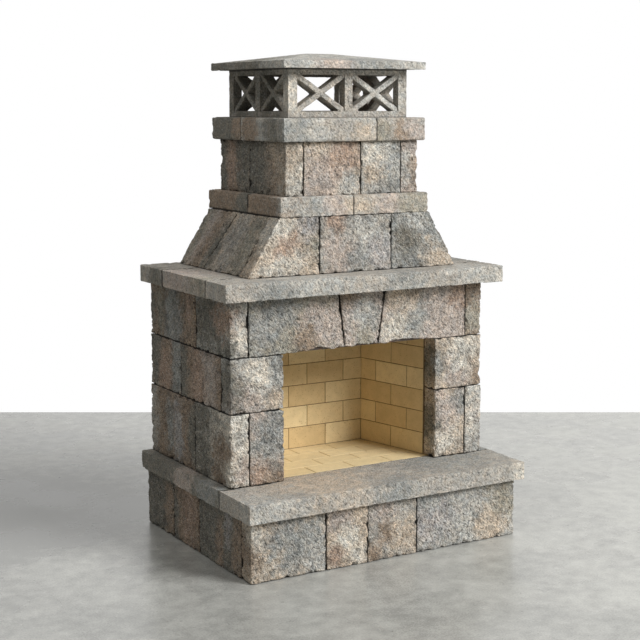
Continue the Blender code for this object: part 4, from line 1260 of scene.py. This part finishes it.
tone = chance(0.0, 1.0) + given["Paler"]
toned = keep(nodes, given["Geometry"], "tone", tone, domain="FACE")
body, top = extruded(toned, None, given["Body"] + given["Uneven"] * chance(-1.0, 0.0))
eased, face = extruded(body, top, given["Ease"])
shrunk = {"Geometry": eased, "Selection": face, "Scale": TOP_SHARE}
scaled = nodes.add("GeometryNodeScaleElements", shrunk, domain="FACE")
behind = nodes.add("GeometryNodeFlipFaces", {0: toned})
both = nodes.tree.nodes.new("GeometryNodeJoinGeometry")
for wire in (scaled, behind):
    nodes.tree.links.new(wire.socket, both.inputs[0])
joined = {0: Wire(nodes, both.outputs[0]), "Distance": MERGE_REACH}
whole = nodes.add("GeometryNodeMergeByDistance", joined)
BRICK_TREE = end_tree(nodes, whole, given["Material"])
print("the brick tree has", len(BRICK_TREE.nodes), "nodes")

# %% Lay out one wall of bricks
BRICK, COURSE, THIN_JOINT = 0.2305, 0.1155, 0.004
SLIVER = 0.012  # a shorter end is left to the brick before it
BRICK_SUNK = 0.010
EASE = 0.0009
UNEVEN = 0.0008


def lay(name, node, origin, along, up, out, length, height, course, offsets, paler=0.0):
    """Bricks in a bond: flat faces from rows and offsets, then the tree."""
    origin, along, up, out = (Vector(v) for v in (origin, along, up, out))
    points, faces = [], []
    gap = THIN_JOINT / 2
    for row in range(math.ceil(height / course - 0.02)):
        low, high = row * course + gap, min((row + 1) * course, height) - gap
        joints = [offsets[row % len(offsets)] + n * BRICK for n in range(-1, 12)]
        inner = [joint for joint in joints if SLIVER < joint < length - SLIVER]
        for start, end in neighbours([0.0, *inner, length]):
            faces.append(list(range(len(points), len(points) + 4)))
            start, end = start + gap, end - gap
            for s, t in ((start, low), (end, low), (end, high), (start, high)):
                points.append(origin + along * s + up * t - out * BRICK_SUNK)
    mesh = mesh_of(name, points, faces)
    if mesh.polygons[0].normal.dot(out) < 0:
        mesh.flip_normals()
    thing = placed(name, mesh)
    baked(thing, BRICK_TREE, {
        "Body": BRICK_SUNK - EASE, "Uneven": UNEVEN, "Ease": EASE, "Paler": paler,
        "Seed": len(name), "Material": FIREBRICK,
    })
    hand_over(thing, node)
    print(name, len(faces), "bricks")


def bed(name, node, plan, low, high):
    """The mortar body behind the bricks, from its outline in plan."""
    count = len(plan)
    points = [(x, y, z) for z in (low, high) for x, y in plan]
    faces = [list(range(count))[::-1], list(range(count, 2 * count))]
    faces += [[n, (n + 1) % count, (n + 1) % count + count, n + count] for n in range(count)]
    mesh = mesh_of(name, points, faces)
    mesh.materials.append(MORTAR)
    hand_over(placed(name, mesh), node)


def oblong(half_width, front, rear):
    """An outline in plan, the same left and right."""
    return [(-half_width, front), (half_width, front), (half_width, rear), (-half_width, rear)]


# %% Build the walls of the firebox
SINK = 0.003  # from the brick faces to the mortar
MOUTH_HALF, BACK_HALF = 0.449, 0.343
MOUTH_Y, BACK_Y, OUTER_Y = -0.2115, 0.2425, 0.3058
SKEW = 0.0652  # a side wall's thickness across
BASE_Z, TOP_Z = 0.397, 1.0897

run = Vector((MOUTH_HALF - BACK_HALF, MOUTH_Y - BACK_Y, 0))
lean = run.normalized()
tall = TOP_Z - BASE_Z
for side, word in ((-1, "left"), (1, "right")):
    node = f"firebox_{word}_wall"
    along = (side * lean.x, lean.y, 0)
    out = (side * lean.y, -lean.x, 0)
    start = (side * BACK_HALF, BACK_Y, BASE_Z)
    offsets = (BRICK, BRICK / 2)
    lay(f"bricks_{word}_wall", node, start, along, (0, 0, 1), out, run.length, tall, COURSE, offsets)
    plan = []
    for half, y in ((MOUTH_HALF, MOUTH_Y), (BACK_HALF, BACK_Y)):
        plan.append([(side * (half + SINK), y), (side * (half + SKEW), y)])
    plan = plan[0] + plan[1][::-1]
    bed(f"mortar_{word}_wall", node, plan[::side], BASE_Z, TOP_Z)

reach = BACK_HALF + SKEW
start = (-reach, BACK_Y, BASE_Z)
offsets = ((reach - BRICK / 2) % BRICK, reach % BRICK)
node = "firebox_back_wall"
lay("bricks_back_wall", node, start, (1, 0, 0), (0, 0, 1), (0, -1, 0), 2 * reach, tall, COURSE, offsets)
bed("mortar_back_wall", node, oblong(reach, BACK_Y + SINK, OUTER_Y), BASE_Z, TOP_Z)

# %% Build the floor of the firebox
FLOOR_Y, FLOOR_Z, FLOOR_FOOT = -0.2463, 0.3967, 0.3063
FLOOR_COURSES = 4  # from the mouth to the back wall
FLOOR_PALER = 0.7

reach = MOUTH_HALF + SKEW - 0.0003
start = (-reach, FLOOR_Y, FLOOR_Z)
course = (BACK_Y - FLOOR_Y) / FLOOR_COURSES
offsets = (reach % BRICK, (reach + BRICK / 2) % BRICK)
lay(
    "bricks_floor", "firebox_floor", start, (1, 0, 0), (0, 1, 0), (0, 0, 1),
    2 * reach, OUTER_Y - FLOOR_Y, course, offsets, FLOOR_PALER,
)
plan = oblong(reach, FLOOR_Y, OUTER_Y)
bed("mortar_floor", "firebox_floor", plan, FLOOR_FOOT, FLOOR_Z - SINK)

# %% [markdown]
# ## Pieces that stay as the CAD model has them
# The core of the plinth, the smoke chamber, the flue liner and the steel bar under the
# lintel are plain solids inside the masonry, seen only through the firebox and the vent.
# They keep their CAD shape and get the finish of what they are.

# %% Finish the inner pieces
def rolled_steel():
    made, nodes, shader = new_material("rolled_steel")
    place = nodes.own_place()
    scale = (place * (0.25, 1.0, 1.0)).noise(0.02, 4, 0.6)
    rust = place.noise(0.05, 4, 0.65).rise(0.5, 0.7)
    colour = nodes.mix(rust, linear((92, 86, 82)), linear((122, 82, 58)))
    nodes.surface(shader, colour, scale.rise(0.3, 0.7, 0.45, 0.7), scale, 0.0006, 0.5)
    nodes.feed(shader.inputs["Metallic"], 0.9 - rust * 0.8)
    return made


concrete = plain_mineral("rough_concrete", (116, 113, 108), (158, 154, 146), 0.08, 0.006, 0.003)
clay = plain_mineral("fired_clay", (158, 92, 66), (190, 120, 88), 0.10, 0.004, 0.0012)
FINISHES = {
    "plinth_core": concrete, "smoke_chamber": concrete,
    "flue_liner": clay, "lintel_bar": rolled_steel(),
}
for node, finish in FINISHES.items():
    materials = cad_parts[node].data.materials
    materials.clear()
    materials.append(finish)
    print(node, "finished in", finish.name)

# %% [markdown]
# ## Count the faces
# The triangles of the pieces made here, and the largest piece.

# %% Count the triangles
counts = {}
for thing in made_pieces:
    thing.data.calc_loop_triangles()
    counts[thing.name] = len(thing.data.loop_triangles)
print(len(counts), "pieces,", sum(counts.values()), "triangles")
largest = max(counts, key=counts.get)
print("largest piece:", largest, counts[largest], "triangles")
